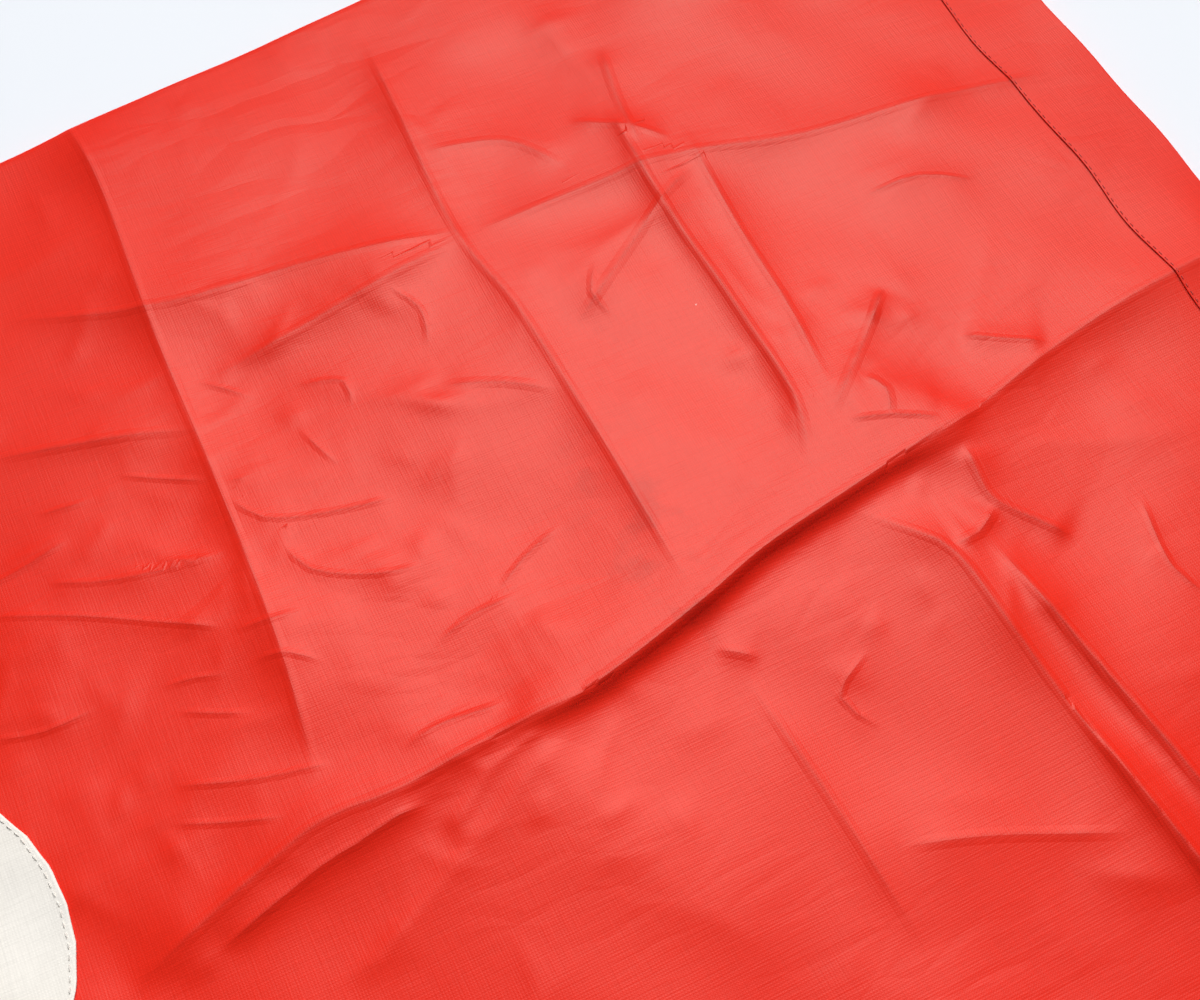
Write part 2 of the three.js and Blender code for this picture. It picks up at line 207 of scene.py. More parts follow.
# Thin wrinkles pressed into the cloth between the storage creases, with their heights in mm
PRESSED = [
    (0.7, [(482, 242), (465, 252), (448, 262)]), (0.9, [(480, 286), (468, 292), (452, 296)]),
    (1.1, [(521, 277), (495, 288), (454, 296)]), (1.4, [(433, 300), (427, 317), (405, 330), (385, 334)]),
    (1.1, [(545, 281), (512, 297), (487, 312), (465, 326)]), (0.7, [(470, 345), (482, 340), (496, 338)]),
    (1.1, [(464, 329), (445, 332), (434, 333)]), (1.1, [(462, 344), (448, 347), (436, 357)]),
    (0.7, [(444, 265), (437, 267), (430, 267)]), (0.8, [(445, 272), (435, 288), (411, 296), (383, 301)]),
    (0.8, [(408, 252), (404, 266), (399, 279)]), (0.9, [(438, 214), (428, 222), (418, 232)]),
    (0.8, [(402, 233), (383, 240), (385, 255)]), (0.7, [(516, 246), (503, 248), (490, 249)]),
    (0.8, [(494, 349), (480, 357), (466, 364)]), (1.1, [(504, 377), (476, 388), (447, 395)]),
    (0.8, [(510, 390), (490, 399), (470, 407)]), (1.5, [(424, 402), (409, 398), (380, 401)]),
    (0.9, [(349, 204), (340, 222), (345, 240)]), (0.8, [(366, 357), (350, 347), (330, 340)]),
    (0.8, [(397, 368), (380, 362), (358, 361)]), (0.9, [(570, 262), (540, 268), (505, 262)]),
    (0.8, [(560, 330), (538, 336), (518, 335)]), (0.8, [(250, 440), (270, 452), (262, 470)]),
    (0.8, [(262, 230), (272, 246), (268, 262)]), (0.8, [(126, 120), (150, 108), (168, 92)]),
    (0.8, [(120, 430), (128, 462), (122, 480)]), (0.7, [(90, 265), (112, 252), (140, 250)]),
]
# Storage creases of the body and rear: one every two hands' breadths, the way the cloth was folded
FOLD_PITCH = 152.0
BODY_CREASE = 1.5
SEED = 20
# Areas of small wrinkles in the same millimetres: from, to, count, shortest, longest, height, flank
WRINKLES = [
    ((330, 180), (600, 480), 150, 14, 46, 0.50, 4.0),
    ((40, 20), (600, 620), 110, 14, 70, 0.36, 5.0),
    ((150, 280), (260, 460), 26, 10, 28, 0.50, 3.6),
    ((60, 60), (600, 640), 46, 40, 110, 1.20, 15.0),
    ((600, 60), (1000, 800), 50, 40, 140, 0.90, 14.0),
    ((1000, 120), (3200, 700), 170, 60, 220, 1.20, 18.0),
]
WRINKLE_TURN = (-0.25, 0.55)  # radians from the body's length: the middle of their turns, and the spread


def body_creases():
    creases = []
    length = (ROOT_X - MOUTH_X) / MM
    mouth = 2 * MOUTH_HALF / MM
    for index, u in enumerate(np.arange(4 * FOLD_PITCH, length - FOLD_PITCH / 2, FOLD_PITCH)):
        half = half_height(MOUTH_X + u * MM) / MM
        bow = 4.0 * math.sin(1.7 * index)
        points = [(u, mouth / 2 - half), (u + bow, mouth / 2), (u, mouth / 2 + half)]
        creases.append(Crease(DOWN, points, BODY_CREASE, 20, 16, taper=10))
    for share in (-0.42, 0.05, 0.5):
        stations = np.arange(600.0, length, 200.0)
        points = [(u, mouth / 2 + share * half_height(MOUTH_X + u * MM) / MM) for u in stations]
        creases.append(Crease(ALONG, points, BODY_CREASE, 16, 24))
    return creases


def wrinkles():
    random = np.random.default_rng(SEED)
    creases = [Crease(FINE, points, 0.5 * height, 3, 5, 1.1, 0.4, 12) for height, points in PRESSED]
    for low, high, count, shortest, longest, height, flank in WRINKLES:
        for start in random.uniform(low, high, (count, 2)):
            angle = random.normal(*WRINKLE_TURN) + (math.pi / 2) * (random.random() < 0.25)
            size = random.uniform(shortest, longest)
            step = size / 2 * np.array([math.cos(angle), math.sin(angle)])
            bend = random.uniform(-0.25, 0.25) * np.array([-step[1], step[0]])
            points = [start, start + step + bend, start + 2 * step]
            rise = height * random.uniform(0.4, 1.3)
            flanks = flank * random.uniform(0.6, 1.5, 2)
            creases.append(Crease(SOFT, points, rise, *flanks, rounding=0.8, taper=size / 2))
    return creases


CREASES = HEAD_CREASES + body_creases() + wrinkles()
FAR = 40.0  # millimetres, beyond the reach of any fine line
# Millimetres from a crest at which its fine line has gone, and is still whole
LINE_REACH = {DOWN: (8.0, 4.0), ALONG: (8.0, 4.0), FINE: (4.2, 2.4)}
# Long soft waves under the creases: height, waves per metre behind the mouth and below the back, phase
WAVES = [(1.2, 4.6, 3.1, 0.4), (1.0, -3.7, 5.2, 1.1), (0.9, 8.1, -4.3, 2.0), (0.6, 5.6, 11.0, 0.7),
         (0.5, -11.3, 9.1, 2.9), (0.35, 15.7, 10.4, 4.1)]
RELIEF_KNEE, RELIEF_SOFT = 7.0, 2.0  # millimetres: creases that cross don't pile up beyond their sum
# Lines across the body where the cloth lies flat, so that what hinges there swings clear of it:
# the two storage folds and the roots of the pectoral fins. Flat up to the first distance, free at
# the second, in millimetres
FLAT_LINES = {
    BODY_X: (15.0, 170.0),
    ROOT_X: (15.0, 170.0),
    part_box("pectoral_fin_right")[0].x: (8.0, 100.0),
}
SEAM_CLEAR = (2.0, 70.0)  # the same along the back and belly seams of the body, where the fins fold over
NECK = (940.0, 1060.0)  # the head's creases reach its seams; behind this the seams pull them flat


class Lie:
    """How the upper side of the streamer lies: height, and the fine crease lines, at some points."""

    def __init__(self, x, y):
        self.shape = x.shape
        u = (x.ravel() - MOUTH_X) / MM
        v = (y.ravel() + MOUTH_HALF) / MM
        points = np.column_stack([u, v])
        height = np.zeros(len(u))
        self.lines = {family: [np.full(len(u), FAR), np.zeros(len(u))] for family in LINED}
        for crease in CREASES:
            near = np.flatnonzero(crease.near(points))
            if not len(near):
                continue
            across, ends = crease.follow(points[near])
            strength = smoothstep(0, crease.taper, ends)
            height[near] += crease.height * strength * crease.profile(across)
            if crease.family not in LINED:
                continue
            gap, depth = self.lines[crease.family]
            closer = np.abs(across) < np.abs(gap[near])
            gap[near[closer]] = across[closer]
            reach = smoothstep(*LINE_REACH[crease.family], np.abs(across))
            depth[near[closer]] = (crease.crisp * strength * reach)[closer]
        for rise, along, across, phase in WAVES:
            turn = (u * along + v * across) * MM
            height += rise * (1 + np.sin(2 * math.pi * turn + phase)) / 2
        for line_x, clear in FLAT_LINES.items():
            height *= smoothstep(*clear, np.abs(u - (line_x - MOUTH_X) / MM))
        inward = (half_height(x.ravel()) - np.abs(y.ravel())) / MM
        sewn = smoothstep(*NECK, u) * (x.ravel() < ROOT_X)
        height *= 1 - sewn * (1 - smoothstep(*SEAM_CLEAR, inward))
        height = np.where(height > RELIEF_KNEE, RELIEF_KNEE + RELIEF_SOFT * (1 - np.exp(
            -(height - RELIEF_KNEE) / RELIEF_SOFT)), height)
        self.height = height.reshape(self.shape) * MM * sizes().relief
        self.stain = (smoothstep(30, 6, np.abs(u - 303)) * smoothstep(290, 330, v)
                      * smoothstep(425, 395, v))


# ---------------------------------------------------------------- settings

def linear(text):
    """An sRGB hex colour as the linear values that Blender's sockets take."""
    channels = [int(text[i:i + 2], 16) / 255 for i in (0, 2, 4)]
    return [c / 12.92 if c <= 0.04045 else ((c + 0.055) / 1.055) ** 2.4 for c in channels] + [1.0]


def length_setting(name, description, default):
    return FloatProperty(name=name, description=description, default=default, min=0.0, unit="LENGTH",
                         precision=5)


def colour_setting(name, description, text):
    return FloatVectorProperty(name=name, description=description, subtype="COLOR", size=4,
                               min=0.0, max=1.0, default=linear(text))


class StreamerSizes(bpy.types.PropertyGroup):
    """Sizes of the cloth and its sewing."""

    cloth: length_setting("Cloth", "Thickness of one layer of cloth", 0.0005)
    turned: length_setting("Turned edge", "Width turned under at the edge of a sewn-on piece", 0.006)
    turned_lift: length_setting("Turned edge lift", "How much a turned edge stands up", 0.00025)
    inset: length_setting("Stitch inset", "From the edge of a piece to its row of stitches", 0.003)
    stitch: length_setting("Stitch", "Length of one stitch", 0.0028)
    stitch_gap: length_setting("Stitch gap", "Between two stitches", 0.0011)
    thread: length_setting("Thread", "Width of the sewing thread", 0.0005)
    spacing: length_setting("Thread spacing", "Spacing of the cloth's threads as drawn", 0.0011)
    seam: length_setting("Seam", "Width of a felled seam", 0.016)
    binding: length_setting("Binding", "Width of the binding at a fin's root", 0.012)
    relief: FloatProperty(name="Relief", description="How high the creases stand", default=1.0,
                          min=0.0, max=1.2, subtype="FACTOR")


class StreamerColours(bpy.types.PropertyGroup):
    """Colours of the cloth, thread, metal and floor."""

    red: colour_setting("Red", "Dyed cloth of the body", "E71F07")
    red_worn: colour_setting("Worn red", "Body cloth where the dye has faded", "EA240B")
    deep_red: colour_setting("Deep red", "Cloth of the scales", "981006")
    white: colour_setting("White", "Undyed cloth of the eyes, gill covers and fins", "F0EAE0")
    black: colour_setting("Black", "Cloth of the pupils", "1B1A1C")
    tape: colour_setting("Tape", "Cotton tape in the seams", "D9CFBB")
    red_thread: colour_setting("Red thread", "Thread of the red seams", "C41A0E")
    white_thread: colour_setting("White thread", "Thread of the white pieces", "F7F2EA")
    brass: colour_setting("Brass", "Eyelets and their washers", "C9A24B")
    steel: colour_setting("Steel", "Hoop and its clips", "8D9094")
    floor: colour_setting("Floor", "Floor under the streamer", "F0F4FA")


def sizes():
    return bpy.context.scene.streamer_sizes


def colours():
    return bpy.context.scene.streamer_colours


# ---------------------------------------------------------------- meshes

GRAIN = "grain"  # UV map: the cloth's own flat position, in metres
LINE_NAMES = {DOWN: "crease_down", ALONG: "crease_along", FINE: "crease_fine"}


def graded(start, end, coarse, zones=(), edges=(0.0004, 0.0012, 0.0024)):
    """Stations from start to end: close together at both edges and in the zones (from, to, step)."""
    stations = [start + edge for edge in (0.0, *edges)]
    while stations[-1] < end - edges[-1] - coarse * 0.6:
        here = stations[-1]
        steps = [step for low, high, step in zones if low <= here <= high]
        stations.append(here + min(steps + [coarse]))
    inner = [s for s in stations if s < end - edges[-1] - coarse * 0.3]
    return np.array(inner + [end - edge for edge in reversed((0.0, *edges))])


def finish_mesh(name, points, faces, grain, lie=None, auto_angle=None):
    """Makes the object, with the cloth's flat position as its UV map and the crease lines on it."""
    mesh = bpy.data.meshes.new(name)
    mesh.from_pydata(points.tolist(), [], faces.tolist())
    mesh.update()
    loops = np.zeros(len(mesh.loops), np.int32)
    mesh.loops.foreach_get("vertex_index", loops)
    mesh.uv_layers.new(name=GRAIN).data.foreach_set("uv", grain[loops].astype(np.float32).ravel())
    if lie is not None:
        layers = {LINE_NAMES[f]: lie.lines[f][0] for f in LINED}
        layers.update({f"{LINE_NAMES[f]}_depth": lie.lines[f][1] for f in LINED})
        layers["stain"] = lie.stain
        for layer, values in layers.items():
            attribute = mesh.attributes.new(layer, "FLOAT", "POINT")
            attribute.data.foreach_set("value", values.astype(np.float32))
    mesh.shade_smooth()
    if auto_angle is not None:
        mesh.set_sharp_from_angle(angle=auto_angle)
    piece = bpy.data.objects.new(name, mesh)
    bpy.context.scene.collection.objects.link(piece)
    return piece


def grid_faces(rows, columns):
    index = np.arange(rows * columns).reshape(rows, columns)
    corners = (index[:-1, :-1], index[1:, :-1], index[1:, 1:], index[:-1, 1:])
    return np.stack(corners, axis=-1).reshape(-1, 4)


def facing(points, faces, way):
    """The same faces, turned so that they look up (way 1) or down (way -1)."""
    a, b, c, d = (points[faces[:, i]] for i in range(4))
    lean = np.cross(c - a, d - b)[:, 2].sum()
    return faces if lean * way > 0 else faces[:, ::-1]


def single_sheet(name, x, y, z, way, lie):
    """One layer of cloth whose edges are sewn into its neighbours."""
    points = np.stack([x, y, z], axis=-1).reshape(-1, 3)
    faces = facing(points, grid_faces(*x.shape), way)
    return finish_mesh(name, points, faces, points[:, :2], lie)


def edge_distance(x, y):
    """About how far each grid point is from the edge of its sheet."""
    nearest = np.full(x.shape, 1e9)
    for axis in (0, 1):
        step = np.hypot(np.diff(x, axis=axis), np.diff(y, axis=axis))
        walked = np.concatenate([np.zeros_like(np.take(x, [0], axis)), np.cumsum(step, axis)], axis)
        back = np.take(walked, [-1], axis) - walked
        nearest = np.minimum(nearest, np.minimum(walked, back))
    return nearest


def thick_sheet(name, x, y, outer, way, thickness, lie=None, turned=True):
    """A closed piece of cloth with a rounded rim. outer is the height of its outer face."""
    edge = edge_distance(x, y)
    rim = 1 - np.clip(edge / thickness, 0, 1)
    drop = thickness / 2 * (1 - np.sqrt(1 - rim**2))
    lift = 0
    if turned:
        width = sizes().turned
        pucker = np.exp(-((edge - sizes().inset) / (0.25 * width)) ** 2)
        lift = sizes().turned_lift * (smoothstep(width, 0.8 * width, edge) - 0.4 * pucker)
    top = outer + way * (lift - drop)
    low = outer - way * (thickness - drop)
    rows, columns = x.shape
    inside = np.zeros(x.shape, bool)
    inside[1:-1, 1:-1] = True
    index = np.arange(rows * columns).reshape(rows, columns)
    under = index.copy()
    under[inside] = rows * columns + np.arange(inside.sum())
    upper_points = np.stack([x, y, top], axis=-1).reshape(-1, 3)
    lower_points = np.stack([x, y, low], axis=-1)[inside]
    upper_faces = facing(upper_points, grid_faces(rows, columns), way)
    lower_faces = under.ravel()[upper_faces][:, ::-1]
    points = np.vstack([upper_points, lower_points])
    if lie is not None:
        keep = np.concatenate([index.ravel(), index[inside]])
        for family in LINED:
            lie.lines[family] = [values[keep] for values in lie.lines[family]]
        lie.stain = lie.stain[keep]
    faces = np.vstack([upper_faces, lower_faces])
    return finish_mesh(name, points, faces, points[:, :2], lie), top


def coons(bottom, top, left, right, s, t):
    """A grid inside four curves that meet at their ends; each is a function from 0..1 to (x, y)."""
    s_line, t_line = s[:, None, None], t[None, :, None]
    low, high = bottom(s)[:, None, :], top(s)[:, None, :]
    start, end = left(t)[None, :, :], right(t)[None, :, :]
    corners = ((1 - s_line) * (1 - t_line) * bottom(s[:1]) + s_line * (1 - t_line) * bottom(s[-1:])
               + (1 - s_line) * t_line * top(s[:1]) + s_line * t_line * top(s[-1:]))
    grid = (1 - t_line) * low + t_line * high + (1 - s_line) * start + s_line * end - corners
    return grid[..., 0], grid[..., 1]


def straight(a, b):
    a, b = np.array(a, float), np.array(b, float)
    return lambda t: a + (b - a) * np.asarray(t)[:, None]


def quadratic(a, b, c):
    a, b, c = (np.array(p, float) for p in (a, b, c))
    return lambda t: (a * ((1 - t) ** 2)[:, None] + b * (2 * t * (1 - t))[:, None] + c * (t**2)[:, None])


def joined(first, second, share):
    """Two curves as one: the first takes that share of the way."""
    def curve(t):
        early = first(np.clip(t / share, 0, 1))
        late = second(np.clip((t - share) / (1 - share), 0, 1))
        return np.where((t < share)[:, None], early, late)
    return curve


def unit_stations(length, step):
    return graded(0.0, length, step) / length


# ---------------------------------------------------------------- sewing

STITCH_RINGS = ((-0.5, 0.35, -0.2), (-0.28, 1.0, 0.35), (0.28, 1.0, 0.35), (0.5, 0.35, -0.2))


def stitches(name, paths, way, body, colour_slot, material, pitch_share=1.0):
    """Rows of machine stitches along paths that lie on the cloth's outer face."""
    length = sizes().stitch * pitch_share
    pitch = (sizes().stitch + sizes().stitch_gap) * pitch_share
    radius = sizes().thread / 2
    centres, tangents = [], []
    for path in paths:
        steps = np.linalg.norm(np.diff(path, axis=0), axis=1)
        walked = np.concatenate([[0], np.cumsum(steps)])
        places = np.arange(pitch / 2, walked[-1] - pitch / 2, pitch)
        ends = [np.column_stack([np.interp(places + k * length / 2, walked, axis) for axis in path.T])
                for k in (-1, 1)]
        centres.append((ends[0] + ends[1]) / 2)
        tangents.append((ends[1] - ends[0]) / np.linalg.norm(ends[1] - ends[0], axis=1)[:, None])
    centre, tangent = np.vstack(centres), np.vstack(tangents)
    up = np.array([0, 0, way], float)
    across = np.cross(tangent, up)
    across /= np.linalg.norm(across, axis=1)[:, None]
    rings = []
    for along, girth, rise in STITCH_RINGS:
        middle = centre + tangent * along * length + up * rise * 2 * radius
        for side, height in ((-1, 0), (0, 1), (1, 0), (0, -1)):
            rings.append(middle + across * side * radius * girth + up * height * radius * girth)
    points = np.stack(rings, axis=1)
    count = len(STITCH_RINGS) * 4
    quads = [[4 * r + k, 4 * r + (k + 1) % 4, 4 * r + 4 + (k + 1) % 4, 4 * r + 4 + k]
             for r in range(len(STITCH_RINGS) - 1) for k in range(4)]
    quads += [[3, 2, 1, 0], [count - 4, count - 3, count - 2, count - 1]]
    quads = np.array(quads) if way > 0 else np.array(quads)[:, ::-1]
    faces = (quads[None] + (np.arange(len(points)) * count)[:, None, None]).reshape(-1, 4)
    flat = points.reshape(-1, 3)
    piece = finish_mesh(name, flat, faces, flat[:, :2])
    piece.data.materials.append(material)
    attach(piece, body)
    return piece


def inset_path(x, y, z, distance, way):
    """The closed line that runs at a distance inside the edge of a gridded sheet."""
    edge = edge_distance(x, y)
    rows = int(np.argmin(np.abs(edge[:x.shape[0] // 2, x.shape[1] // 2] - distance)))
    columns = int(np.argmin(np.abs(edge[x.shape[0] // 2, :x.shape[1] // 2] - distance)))
    part = (slice(rows, x.shape[0] - rows), slice(columns, x.shape[1] - columns))
    loops = np.stack([g[part] for g in (x, y, z)], axis=-1)
    ring = np.vstack([loops[:, 0], loops[-1, 1:], loops[-2::-1, -1], loops[0, -2:0:-1], loops[:1, 0]])
    return ring + np.array([0, 0, way * sizes().thread / 4])


# ---------------------------------------------------------------- materials

def node(tree, kind, inputs=None, **settings):
    """Adds a node, sets it up, and links or fills its inputs."""
    made = tree.nodes.new(kind)
    for name, value in settings.items():
        setattr(made, name, value)
    for name, value in (inputs or {}).items():
        if isinstance(value, bpy.types.NodeSocket):
            tree.links.new(value, made.inputs[name])
        else:
            made.inputs[name].default_value = value
    return made


def start_material(name):
    """A material of that name with an empty tree, or None in its place if it is already made."""
    material = bpy.data.materials.get(name)
    if material:
        return material, None
    material = bpy.data.materials.new(name)
    material.use_nodes = True
    material.node_tree.nodes.clear()
    return material, material.node_tree


WAVE_PERIOD = 0.314  # Blender's wave texture repeats after this length at scale 1


def woven_cotton(name, colour, worn, crumple=1.0):
    """Plain woven cotton sheeting, dyed in the piece: a soft finish gloss over uneven threads."""
    material, tree = start_material(name)
    if tree is None:
        return material

    def maths(operation, *values):
        made = node(tree, "ShaderNodeMath", dict(enumerate(values)), operation=operation)
        return made.outputs["Value"]

    def value_of(attribute):
        return node(tree, "ShaderNodeAttribute", attribute_name=attribute).outputs["Fac"]

    grain = node(tree, "ShaderNodeUVMap", uv_map=GRAIN).outputs["UV"]

    def noise(per_metre, detail, stretch=(1, 1, 1), rough=0.5):
        placed = node(tree, "ShaderNodeMapping", {"Vector": grain, "Scale": stretch})
        made = node(tree, "ShaderNodeTexNoise",
                    {"Vector": placed.outputs["Vector"], "Scale": per_metre, "Detail": detail,
                     "Roughness": rough})
        return made.outputs["Fac"]

    # Threads are 0.33 mm apart, too fine to show, so they are drawn at the spacing in the settings
    threads = []
    for direction in ("X", "Y"):
        bands = node(tree, "ShaderNodeTexWave",
                     {"Vector": grain, "Scale": WAVE_PERIOD / sizes().spacing, "Distortion": 0.9,
                      "Detail": 1.0, "Detail Scale": 0.25},
                     wave_type="BANDS", bands_direction=direction, wave_profile="SIN")
        threads.append(bands.outputs["Fac"])
    weave = maths("MULTIPLY", threads[0], threads[1])
    # Slubs: thicker places in a thread, about 1 mm wide and 12 mm long, in both directions
    slub_warp = noise(900, 1.0, (0.09, 1, 1))
    slub_weft = noise(900, 1.0, (1, 0.09, 1))
    slubs = maths("ADD", slub_warp, slub_weft)
    cloudy = noise(9, 4.0)

    # Fine crumpling: long facets 15 to 40 mm across, lying near the body's length, that come and go
    warped = node(tree, "ShaderNodeTexNoise", {"Vector": grain, "Scale": 14.0, "Detail": 2.0})
    shift = node(tree, "ShaderNodeMixRGB",
                 {"Fac": 0.03, "Color1": grain, "Color2": warped.outputs["Color"]})
    long_way = node(tree, "ShaderNodeMapping",
                    {"Vector": shift.outputs["Color"], "Rotation": (0, 0, 0.26), "Scale": (0.34, 1, 1)})
    crumples = []
    for per_metre, depth, patchiness in ((38.0, 0.00022, 7.0), (75.0, 0.00010, 11.0)):
        cells = node(tree, "ShaderNodeTexVoronoi",
                     {"Vector": long_way.outputs["Vector"], "Scale": per_metre},
                     feature="DISTANCE_TO_EDGE")
        ridge = maths("MINIMUM", cells.outputs["Distance"], 0.22)
        patch = node(tree, "ShaderNodeMapRange",
                     {"Value": noise(patchiness, 2.0), "From Min": 0.48, "From Max": 0.68})
        ridge = maths("MULTIPLY", ridge, depth / 0.22)
        crumples.append(maths("MULTIPLY", ridge, patch.outputs["Result"]))
    crumpled = maths("MULTIPLY", maths("ADD", *crumples), crumple)

    # Pressed crease lines: a sharp crest in the bump, and along it a darker line of painted shade, finer
    # than the mesh can cast
    crest, shade = 0.0, 0.0
    for family, rise, width in ((DOWN, 0.00028, 1.3), (ALONG, 0.00030, 1.4), (FINE, 0.00026, 1.0)):
        gap = maths("ABSOLUTE", value_of(LINE_NAMES[family]))
        depth = value_of(f"{LINE_NAMES[family]}_depth")
        tent = maths("MAXIMUM", maths("SUBTRACT", 1.0, maths("DIVIDE", gap, 2.2 * width)), 0.0)
        crest = maths("MULTIPLY_ADD", maths("MULTIPLY", tent, depth), rise, crest)
        narrow = maths("MAXIMUM", maths("SUBTRACT", 1.0, maths("DIVIDE", gap, width)), 0.0)
        shade = maths("MULTIPLY_ADD", narrow, depth, shade)
    # painted shade along the crease crests, broken into patches by noise
    patchy_crease_shade = maths("MULTIPLY", shade, noise(60, 2.0))

    height = maths("MULTIPLY_ADD", weave, 0.00003, crest)
    height = maths("MULTIPLY_ADD", slubs, 0.00005, height)
    height = maths("ADD", height, crumpled)
    bump = node(tree, "ShaderNodeBump", {"Height": height, "Strength": 1.0, "Distance": 1.0})

    faded = node(tree, "ShaderNodeMapRange", {"Value": cloudy, "From Min": 0.35, "From Max": 0.7})
    tint = node(tree, "ShaderNodeMixRGB",
                {"Fac": faded.outputs["Result"], "Color1": colour, "Color2": worn})
    # Value changes of the threads, slubs and stains, and the painted shade of the crease lines, as one
    # darkening factor
    dark = maths("MULTIPLY_ADD", maths("SUBTRACT", slubs, 1.0), 0.10, 1.0)
    dark = maths("MULTIPLY_ADD", maths("SUBTRACT", weave, 0.3), 0.04, dark)
    # darkens the crease crests as painted shade
    dark = maths("MULTIPLY_ADD", patchy_crease_shade, -0.22, dark)
    blots = node(tree, "ShaderNodeMapRange",
                 {"Value": noise(55, 5.0), "From Min": 0.5, "From Max": 0.62})
    stained = maths("MULTIPLY", blots.outputs["Result"], value_of("stain"))
    dark = maths("MULTIPLY_ADD", stained, -0.13, dark)
    shaded = node(tree, "ShaderNodeVectorMath",
                  {0: tint.outputs["Color"], "Scale": dark}, operation="SCALE")
    # Lint: a few pale specks half a millimetre across
    specks = node(tree, "ShaderNodeTexVoronoi", {"Vector": grain, "Scale": 34.0})
    chosen = node(tree, "ShaderNodeSeparateColor", {"Color": specks.outputs["Color"]})
    close = maths("LESS_THAN", specks.outputs["Distance"], 0.018)
    lint = maths("MULTIPLY", close, maths("GREATER_THAN", chosen.outputs["Red"], 0.90))
    final = node(tree, "ShaderNodeMixRGB",
                 {"Fac": maths("MULTIPLY", lint, 0.4), "Color1": shaded.outputs["Vector"],
                  "Color2": linear("F5E6E0")})
    shader = node(tree, "ShaderNodeBsdfPrincipled",
                  {"Base Color": final.outputs["Color"], "Roughness": 0.47,
                   "Specular IOR Level": 0.30, "Sheen Weight": 0.004, "Sheen Roughness": 0.4,
                   "Sheen Tint": linear("FFE4DC"), "Normal": bump.outputs["Normal"]})
    node(tree, "ShaderNodeOutputMaterial", {"Surface": shader.outputs["BSDF"]})
    return material


def red_cotton():
    return woven_cotton("dyed_red_cotton_sheeting", colours().red, colours().red_worn)


def deep_red_cotton():
    return woven_cotton("dyed_deep_red_cotton_sheeting", colours().deep_red, linear("A51A0E"), 0.6)


def white_cotton():
    return woven_cotton("unbleached_cotton_sheeting", colours().white, linear("F5F0E8"), 0.5)


def black_cotton():
    return woven_cotton("dyed_black_cotton_sheeting", colours().black, linear("26252A"), 0.5)


def tape_cotton():
    """Cotton twill tape, woven in a herringbone 3 mm wide: matt and ribbed."""
    material, tree = start_material("herringbone_cotton_tape")
    if tree is None:
        return material
    place = node(tree, "ShaderNodeTexCoord").outputs["Object"]
    ribs = node(tree, "ShaderNodeTexWave",
                {"Vector": place, "Scale": WAVE_PERIOD / 0.003, "Distortion": 0.6},
                wave_type="BANDS", bands_direction="DIAGONAL", wave_profile="TRI")
    bump = node(tree, "ShaderNodeBump", {"Height": ribs.outputs["Fac"], "Distance": 0.0002})
    colour = node(tree, "ShaderNodeMixRGB",
                  {"Fac": ribs.outputs["Fac"], "Color1": linear("B9AE98"), "Color2": colours().tape})
    shader = node(tree, "ShaderNodeBsdfPrincipled",
                  {"Base Color": colour.outputs["Color"], "Roughness": 0.9, "Sheen Weight": 0.2,
                   "Normal": bump.outputs["Normal"]})
    node(tree, "ShaderNodeOutputMaterial", {"Surface": shader.outputs["BSDF"]})
    return material


def sewing_thread(name, colour):
    """Spun polyester thread, two plies twisted: a slight gloss with a slanting twist."""
    material, tree = start_material(name)
    if tree is None:
        return material
    place = node(tree, "ShaderNodeTexCoord").outputs["Object"]
    twist = node(tree, "ShaderNodeTexWave",
                 {"Vector": place, "Scale": WAVE_PERIOD / 0.0008},
                 wave_type="BANDS", bands_direction="DIAGONAL", wave_profile="SIN")
    bump = node(tree, "ShaderNodeBump", {"Height": twist.outputs["Fac"], "Distance": 0.00002})
    shade = node(tree, "ShaderNodeMapRange",
                 {"Value": twist.outputs["Fac"], "To Min": 0.9, "To Max": 1.0})
    tint = node(tree, "ShaderNodeVectorMath",
                {0: colour, "Scale": shade.outputs["Result"]}, operation="SCALE")
    shader = node(tree, "ShaderNodeBsdfPrincipled",
                  {"Base Color": tint.outputs["Vector"], "Roughness": 0.55, "Sheen Weight": 0.15,
                   "Normal": bump.outputs["Normal"]})
    node(tree, "ShaderNodeOutputMaterial", {"Surface": shader.outputs["BSDF"]})
    return material


def red_thread():
    return sewing_thread("red_sewing_thread", list(colours().red_thread)[:3])


def white_thread():
    return sewing_thread("ecru_sewing_thread", list(colours().white_thread)[:3])


def rolled_metal(name, colour, roughness, grain_mm, tarnish):
    """Sheet metal as it leaves the roll or the press: fine drawn lines and a patchy dulling."""
    material, tree = start_material(name)
    if tree is None:
        return material
    place = node(tree, "ShaderNodeTexCoord").outputs["Object"]
    stretched = node(tree, "ShaderNodeMapping", {"Vector": place, "Scale": (1, 0.06, 1)})
    lines = node(tree, "ShaderNodeTexNoise",
                 {"Vector": stretched.outputs["Vector"], "Scale": 1000 / grain_mm, "Detail": 3.0})
    dulled = node(tree, "ShaderNodeTexNoise", {"Vector": place, "Scale": 160.0, "Detail": 4.0})
    patches = node(tree, "ShaderNodeMapRange",
                   {"Value": dulled.outputs["Fac"], "From Min": 0.4, "From Max": 0.7})
    tint = node(tree, "ShaderNodeMixRGB",
                {"Fac": patches.outputs["Result"], "Color1": colour, "Color2": linear(tarnish)})
    matt = node(tree, "ShaderNodeMapRange",
                {"Value": lines.outputs["Fac"], "To Min": roughness - 0.08, "To Max": roughness + 0.12})
    bump = node(tree, "ShaderNodeBump",
                {"Height": lines.outputs["Fac"], "Strength": 0.4, "Distance": 0.00005})
    shader = node(tree, "ShaderNodeBsdfPrincipled",
                  {"Base Color": tint.outputs["Color"], "Metallic": 1.0,
                   "Roughness": matt.outputs["Result"], "Normal": bump.outputs["Normal"]})
    node(tree, "ShaderNodeOutputMaterial", {"Surface": shader.outputs["BSDF"]})
    return material


def pressed_brass():
    return rolled_metal("pressed_brass", colours().brass, 0.3, 0.3, "9C7A36")


